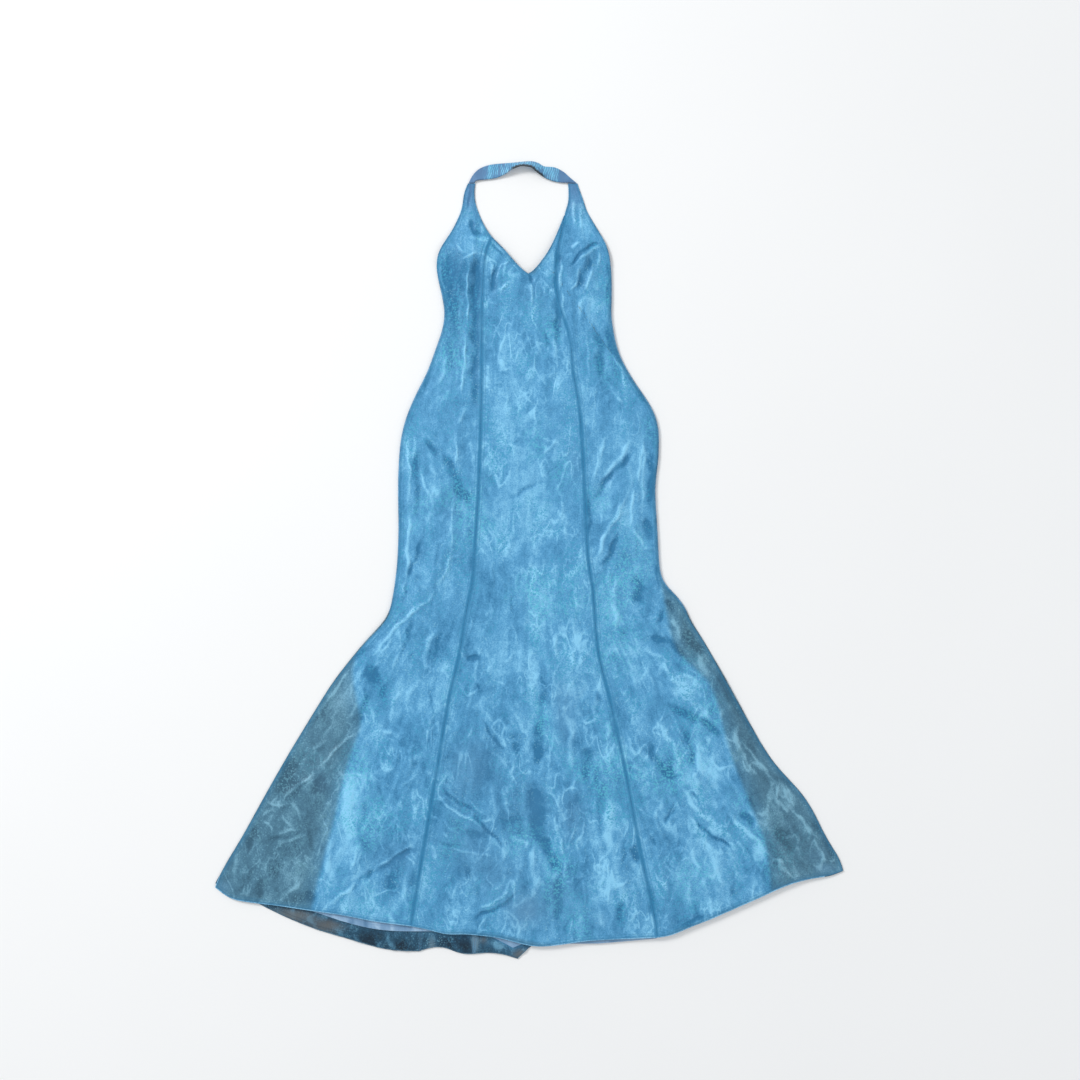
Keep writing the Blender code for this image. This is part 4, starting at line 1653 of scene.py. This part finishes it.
@dataclass
class BackPanels(Cloth):
    """The four organza panels of the back, which lie on the surface."""

    slot: str = "organza_back"
    cuts: dict[str, Cut] = field(
        default_factory=lambda: {
            "side_back_left": Cut(0.503, 1.307, 0.233, ("floor",)),
            "back_left": Cut(0.202, 1.215, 0.12, ("floor",)),
            "back_right": Cut(0.205, 1.211, 0.149, ("floor",)),
            "side_back_right": Cut(0.534, 1.251, 0.304, ("floor",)),
        }
    )
    spacing: float = 10.0
    thickness: float = 0.7
    sink: float = 0.25
    covered_relief: float = 0.2
    bare_lift: float = 1.0
    hem_top: float = -560.0
    side_start: float = 130.0
    lined_above: float = 400.0
    # How strongly the painted highlight lines show on the back.
    liveliness: float = 0.6

    def dress(self, piece: bpy.types.Object, node: str) -> None:
        """Adds creases, deep ones only where nothing lies on the panel.

        Args:
            piece: The open surface.
            node: Its node.
        """
        points = points_of(piece)
        x, y = points[:, 0], points[:, 1]
        bare = smooth_step(self.layers.cover.outside(x, y), 1.0, 9.0)
        edge = self.layers.panels[node].rim(x, y)
        # The back's sides take the painted edge shade.
        at_side = (y >= self.hem_top) & (np.abs(x) > self.side_start)
        low, _ = sum_creases(BACK_CREASES, x, y)
        high, _ = sum_creases(BACK_HEM_CREASES, x, y)
        patched, warm = sum_patches(BACK_PATCHES, x, y)
        # Painted shade in crease troughs and painted highlight on ridges; the hem creases and patches
        # only where the panel is bare.
        tone = 2.0 * low + (0.3 * high + patched) * bare
        raised = np.maximum(high + self.bare_lift + crinkle(x, y, 31.0), 0.0)
        height = np.clip(low, -self.covered_relief, self.covered_relief) + bare * raised
        points[:, 2] += height - self.sink
        lining = self.layers.panels["lining_back"].signed(x, y)
        store(
            piece,
            points,
            tone=np.clip(tone, -TONE_LIMIT, TONE_LIMIT),
            warm=np.clip(warm * bare, 0.0, 1.0),
            to_seam=self.to_seam(node, x, y) * MM,
            to_side=np.where(at_side, edge, FAR) * MM,
            to_edge=edge * MM,
            to_lining=np.where(y > self.lined_above, -FAR, lining) * MM,
            lively=np.full(len(x), self.liveliness),
        )


@dataclass
class Linings(Cloth):
    """The satin lining, front and back."""

    slot: str = "satin_lining"
    cuts: dict[str, Cut] = field(
        default_factory=lambda: {
            "lining_back": Cut(0.868, 1.293, 0.677, ("back_left_cloth", "back_right_cloth")),
            "lining_front": Cut(0.870, 1.303, 0.721, ("lining_back_cloth",)),
        }
    )
    spacing: float = 10.0
    thickness: float = 0.5
    deepest: float = 0.4
    tone_gain: float = 1.5

    def dress(self, piece: bpy.types.Object, node: str) -> None:
        """Adds the lining's creases, which only sink into its own thickness.

        Args:
            piece: The open surface.
            node: Its node.
        """
        points = points_of(piece)
        x, y = points[:, 0], points[:, 1]
        edge = self.layers.panels[node].rim(x, y)
        bare = smooth_step(self.layers.front.outside(x, y), 0.5, 5.0)
        height, _ = sum_creases(LINING_HEM_CREASES + LINING_CREASES, x, y)
        patched, _ = sum_patches(LINING_PATCHES, x, y)
        points[:, 2] += np.clip(height, -self.deepest, 0.0) + bare * np.clip(height, 0.0, 1.0)
        # Painted shade in the lining's troughs, painted highlight on its ridges, and the patches'
        # painted shade and highlight.
        tone = np.clip(self.tone_gain * height + patched, -1.0, 1.0)
        store(piece, points, tone=tone, to_edge=edge * MM)


@dataclass
class NeckBand(Cloth):
    """The band behind the neck, gathered by elastic in its middle."""

    slot: str = "organza_band"
    held: str = "gathered"
    cuts: dict[str, Cut] = field(
        default_factory=lambda: {
            "neck_band": Cut(0.235, 0.028, 0.005, ("side_front_left_cloth", "side_front_right_cloth"))
        }
    )
    spacing: float = 3.0
    thickness: float = 1.0
    gather_pitch: float = 3.5
    gather_depth: float = 1.0
    gathered_from: float = -90.0
    gathered_to: float = 62.0
    shaded_from: float = -40.0
    shaded_to: float = 36.0
    scallop_pitch: float = 7.0

    def dress(self, piece: bpy.types.Object, node: str) -> None:
        """Adds the small gathers and stores where the band is gathered and shaded.

        Args:
            piece: The open surface.
            node: Its node.
        """
        points = points_of(piece)
        x, y = points[:, 0], points[:, 1]
        edge = self.layers.panels[node].rim(x, y)
        gathered = smooth_step(x, self.gathered_from, self.gathered_from + 14.0)
        gathered *= 1.0 - smooth_step(x, self.gathered_to - 10.0, self.gathered_to)
        wander = 2.5 * np.sin(y / 7.0 + x / 23.0)
        ridges = np.sin(math.pi * (x + wander) / self.gather_pitch) ** 2
        points[:, 2] += self.gather_depth * gathered * ridges * smooth_step(edge, 0.0, 2.5)
        lower_half = y < np.interp(x, *zip(*BAND_MIDDLE))
        shaded = smooth_step(x, self.shaded_from, self.shaded_from + 12.0)
        shaded *= 1.0 - smooth_step(x, self.shaded_to - 12.0, self.shaded_to)
        scallop = 3.2 + 1.6 * np.abs(np.sin(math.pi * x / self.scallop_pitch))
        # Painted shadow: in the hollow under the gathered middle, and a thin line along the lower edge.
        hollow = 0.95 * shaded * (1.0 - smooth_step(edge / scallop, 0.7, 1.3))
        outline = 0.5 * (1.0 - smooth_step(edge, 0.7, 2.2))
        # The tone is painted highlight on the gather ridges and painted shade between them.
        store(
            piece,
            points,
            tone=1.6 * (ridges - 0.5) * gathered,
            gathered=gathered,
            shade=np.maximum(hollow, outline) * lower_half,
        )


class Edging(Enum):
    """The edges of the dress that are turned and stitched."""

    HEM = "hem"
    NECK = "neck"
    SIDE = "side"
    FLARE = "flare"
    SEAM = "seam"


@dataclass
class EdgeRolls:
    """Rolled hems and turned edges, run along the edges of the finished panels."""

    layers: Layers
    radii: dict[Edging, float] = field(
        default_factory=lambda: {
            Edging.HEM: 1.0,
            Edging.NECK: 1.0,
            Edging.SIDE: 2.0,
            Edging.FLARE: 1.6,
            Edging.SEAM: 0.8,
        }
    )
    side_top: float = 560.0
    side_start: float = 120.0
    flare_top: float = -100.0
    side_bottom: float = -600.0
    seam_gap: float = 1.2
    taper: float = 70.0
    sunk: float = 0.3
    seam_sunk: float = 0.55
    below: float = 0.5
    rising: float = 0.3
    smooth_angle: float = math.radians(60)

    def kind_of(self, x: float, y: float) -> Edging:
        """Which edging a place on the outline has.

        Args:
            x: Place across the dress, in millimetres.
            y: Place up the dress, in millimetres.

        Returns:
            The edging.
        """
        if y < self.side_bottom:
            return Edging.HEM
        if y >= self.side_top or abs(x) <= self.side_start:
            return Edging.NECK
        return Edging.FLARE if y < self.flare_top else Edging.SIDE

    def is_upper_rim(self, edge: bmesh.types.BMEdge) -> bool:
        """Whether an edge is where a shell's upper face turns down into its wall."""
        heights = [face.normal.z for face in edge.link_faces]
        return len(heights) == 2 and max(heights) > self.rising and min(map(abs, heights)) <= self.rising

    def run(
        self, panel: str, kind: Edging, neighbours: Sequence[str], finish: bpy.types.Material
    ) -> None:
        """Runs one edging along one panel.

        Args:
            panel: The panel's node.
            kind: The edging.
            neighbours: Panels that it is sewn to, where only a seam roll runs.
            finish: The edging's material.
        """
        piece = copy_of(bpy.data.objects[f"{panel}_cloth"], f"{kind.value}_roll_{panel}")
        bpy.ops.object.mode_set(mode="EDIT")
        bpy.ops.mesh.select_mode(type="EDGE")
        bpy.ops.mesh.select_all(action="DESELECT")
        shape = bmesh.from_edit_mesh(piece.data)
        shape.normal_update()
        rims = [edge for edge in shape.edges if self.is_upper_rim(edge)]
        middles = np.array([[*((a.co + b.co) / 2.0)] for a, b in (edge.verts for edge in rims)]) / MM
        x, y = middles[:, 0], middles[:, 1]
        gaps = np.min([self.layers.panels[name].outside(x, y) for name in neighbours], axis=0)
        kinds = [
            self.kind_of(*place) if gap > self.seam_gap else Edging.SEAM
            for *place, gap in zip(x, y, gaps)
        ]
        kept = {edge for edge, found in zip(rims, kinds) if found is kind}
        if not kept:
            bpy.ops.object.mode_set(mode="OBJECT")
            bpy.data.objects.remove(piece)
            return
        doomed = [edge for edge in shape.edges if edge not in kept]
        bmesh.ops.delete(shape, geom=doomed, context="EDGES_FACES")
        lone = [vert for vert in shape.verts if not vert.link_edges]
        bmesh.ops.delete(shape, geom=lone, context="VERTS")
        bmesh.update_edit_mesh(piece.data)
        bpy.ops.object.mode_set(mode="OBJECT")
        bpy.ops.object.convert(target="CURVE")
        self.round_off(piece.data, kind)
        bpy.ops.object.convert(target="MESH")
        piece.data.materials.clear()
        piece.data.materials.append(finish)
        bpy.ops.object.shade_smooth_by_angle(angle=self.smooth_angle)
        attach(piece, BODY)
        LOG.info("%s: %d faces", piece.name, len(piece.data.polygons))

    def round_off(self, line: bpy.types.Curve, kind: Edging) -> None:
        """Gives an edging's line its round section and sinks it into the cloth.

        Args:
            line: The line along the panel's rim, changed in place.
            kind: The edging.
        """
        radius = self.radii[kind] * MM
        line.bevel_depth = radius
        line.bevel_resolution = 1
        line.use_fill_caps = True
        sunk = (self.seam_sunk if kind is Edging.SEAM else self.sunk) * MM
        for point in (point for spline in line.splines for point in spline.points):
            if kind in (Edging.SIDE, Edging.FLARE):
                point.co.z *= 0.5
                below_top = np.clip((self.side_top - point.co.y / MM) / self.taper, 0.0, 1.0)
                point.radius = max(point.co.z / radius, 0.4) * (0.45 + 0.55 * below_top)
            else:
                point.co.z = max(point.co.z - sunk, radius - self.below * MM)

    def build(self, finishes: dict[Edging, bpy.types.Material], dark: bpy.types.Material) -> None:
        """Runs every edging of the dress.

        Args:
            finishes: The material of each edging of the front.
            dark: The material of the back's hem.
        """
        for panel in FRONTS:
            near = [name for name in (*FRONTS, "neck_band") if name != panel]
            for kind in (Edging.HEM, Edging.NECK, Edging.SIDE, Edging.FLARE):
                self.run(panel, kind, near, finishes[kind])
        self.run("centre_front", Edging.SEAM, (FRONTS[0], FRONTS[2]), finishes[Edging.SEAM])
        for panel in BACKS:
            self.run(panel, Edging.HEM, [name for name in BACKS if name != panel], dark)


@dataclass
class Studio:
    """Camera, floor, soft lights and world."""

    camera_height: float = 2.6
    view_width: float = 2.052
    aim_x: float = 0.0209
    aim_y: float = 0.038
    sensor: float = 36.0
    floor_size: float = 9.0
    floor_height: float = -0.0006
    sky: Colour = (0.93, 0.96, 1.0)
    sky_strength: float = 0.62

    def camera(self) -> None:
        """Looks straight down, with the frame as wide as the photograph's."""
        data = bpy.data.cameras.new("camera")
        data.sensor_width = self.sensor
        data.lens = self.sensor * self.camera_height / self.view_width
        camera = bpy.data.objects.new("camera", data)
        camera.location = (self.aim_x, self.aim_y, self.camera_height)
        bpy.context.scene.collection.objects.link(camera)
        bpy.context.scene.camera = camera

    def floor(self, finish: bpy.types.Material) -> None:
        """Lays the floor just under the dress.

        Args:
            finish: The floor's material.
        """
        bpy.ops.object.select_all(action="DESELECT")
        bpy.ops.mesh.primitive_grid_add(x_subdivisions=4, y_subdivisions=4, size=self.floor_size)
        floor = bpy.context.object
        floor.name = "floor"
        floor.data.transform(Matrix.Translation((0.0, 0.0, self.floor_height)))
        floor.data.materials.append(finish)

    def light(self, name: str, place: tuple[float, float, float], size: float, power: float) -> None:
        """Adds a square soft light that points at the dress.

        Args:
            name: The light's name.
            place: Where it stands.
            size: Its side in metres.
            power: Its power in watts.
        """
        data = bpy.data.lights.new(name, "AREA")
        data.shape = "SQUARE"
        data.size = size
        data.energy = power
        lamp = bpy.data.objects.new(name, data)
        lamp.location = place
        lamp.rotation_euler = (-Vector(place)).to_track_quat("-Z", "Y").to_euler()
        bpy.context.scene.collection.objects.link(lamp)

    def build(self, finish: bpy.types.Material) -> None:
        """Builds camera, floor and lights.

        Args:
            finish: The floor's material.
        """
        self.camera()
        self.floor(finish)
        self.light("key", place=(-3.5, 2.8, 3.5), size=1.6, power=185.0)
        self.light("fill", place=(4.0, -2.0, 4.3), size=3.6, power=50.0)
        world = bpy.data.worlds.new("studio")
        world.use_nodes = True
        backdrop = world.node_tree.nodes["Background"]
        backdrop.inputs["Color"].default_value = (*self.sky, 1.0)
        backdrop.inputs["Strength"].default_value = self.sky_strength
        bpy.context.scene.world = world
        bpy.context.scene.view_settings.view_transform = "Standard"


LINED = Tones(srgb(40, 116, 162), srgb(86, 160, 206), srgb(140, 210, 246))
SHEER_FRONT = Tones(srgb(56, 100, 124), srgb(82, 132, 158), srgb(132, 186, 210))
# The back's sheer colours are dark partly as painted shade, where the back lies under the front.
SHEER_BACK = Tones(srgb(12, 42, 60), srgb(30, 76, 102), srgb(84, 138, 168))
SATIN = Tones(srgb(86, 130, 168), srgb(126, 164, 198), srgb(172, 204, 230))
# The side colours below are painted shade along each outline.
FRONT_ORGANZA = Organza(LINED, SHEER_FRONT, seam=srgb(22, 130, 180), side=srgb(46, 122, 164))
BACK_ORGANZA = Organza(
    LINED,
    SHEER_BACK,
    seam=srgb(96, 150, 186),
    side=srgb(24, 60, 84),
    warm=srgb(112, 114, 112),
    warm_share=0.75,
    sheer_flake=srgb(56, 110, 138),
    glint=srgb(50, 112, 146),
    lined_alpha=1.0,
    sheer_alpha=0.9,
    seam_share=0.55,
    contrast=0.8,
)


def main() -> None:
    """Builds the dress and its studio."""
    logging.basicConfig(level=logging.INFO, format="%(name)s: %(message)s")
    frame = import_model()
    layers = Layers(frame)
    BackPanels(frame, layers).build(BACK_ORGANZA.build("organza_back_cloth"))
    Linings(frame, layers).build(Satin(SATIN).build("satin_lining_cloth"))
    FrontPanels(frame, layers).build(FRONT_ORGANZA.build("organza_front_cloth"))
    NeckBand(frame, layers).build(BandOrganza().build("organza_band_cloth"))
    # The neck, side and flare rolls carry painted shade along the edges, on top of the doubled organza's
    # own colour.
    finishes = {
        Edging.HEM: RolledEdge(srgb(74, 142, 180), srgb(136, 196, 230)).build("rolled_hem"),
        Edging.NECK: RolledEdge(srgb(42, 104, 142), srgb(98, 168, 208)).build("turned_neck_edge"),
        Edging.SIDE: RolledEdge(srgb(42, 108, 146), srgb(84, 152, 194)).build("side_seam_edge"),
        Edging.FLARE: RolledEdge(srgb(40, 84, 106), srgb(78, 126, 150)).build("sheer_side_edge"),
        Edging.SEAM: RolledEdge(srgb(12, 96, 142), srgb(42, 132, 180)).build("princess_seam"),
    }
    # The back's hem roll is darkened as painted shade below the front.
    dark = RolledEdge(srgb(34, 74, 98), srgb(84, 124, 146)).build("rolled_back_hem")
    EdgeRolls(layers).build(finishes, dark)
    Studio().build(PaleFloor().build("pale_floor"))


if __name__ == "__main__":
    main()
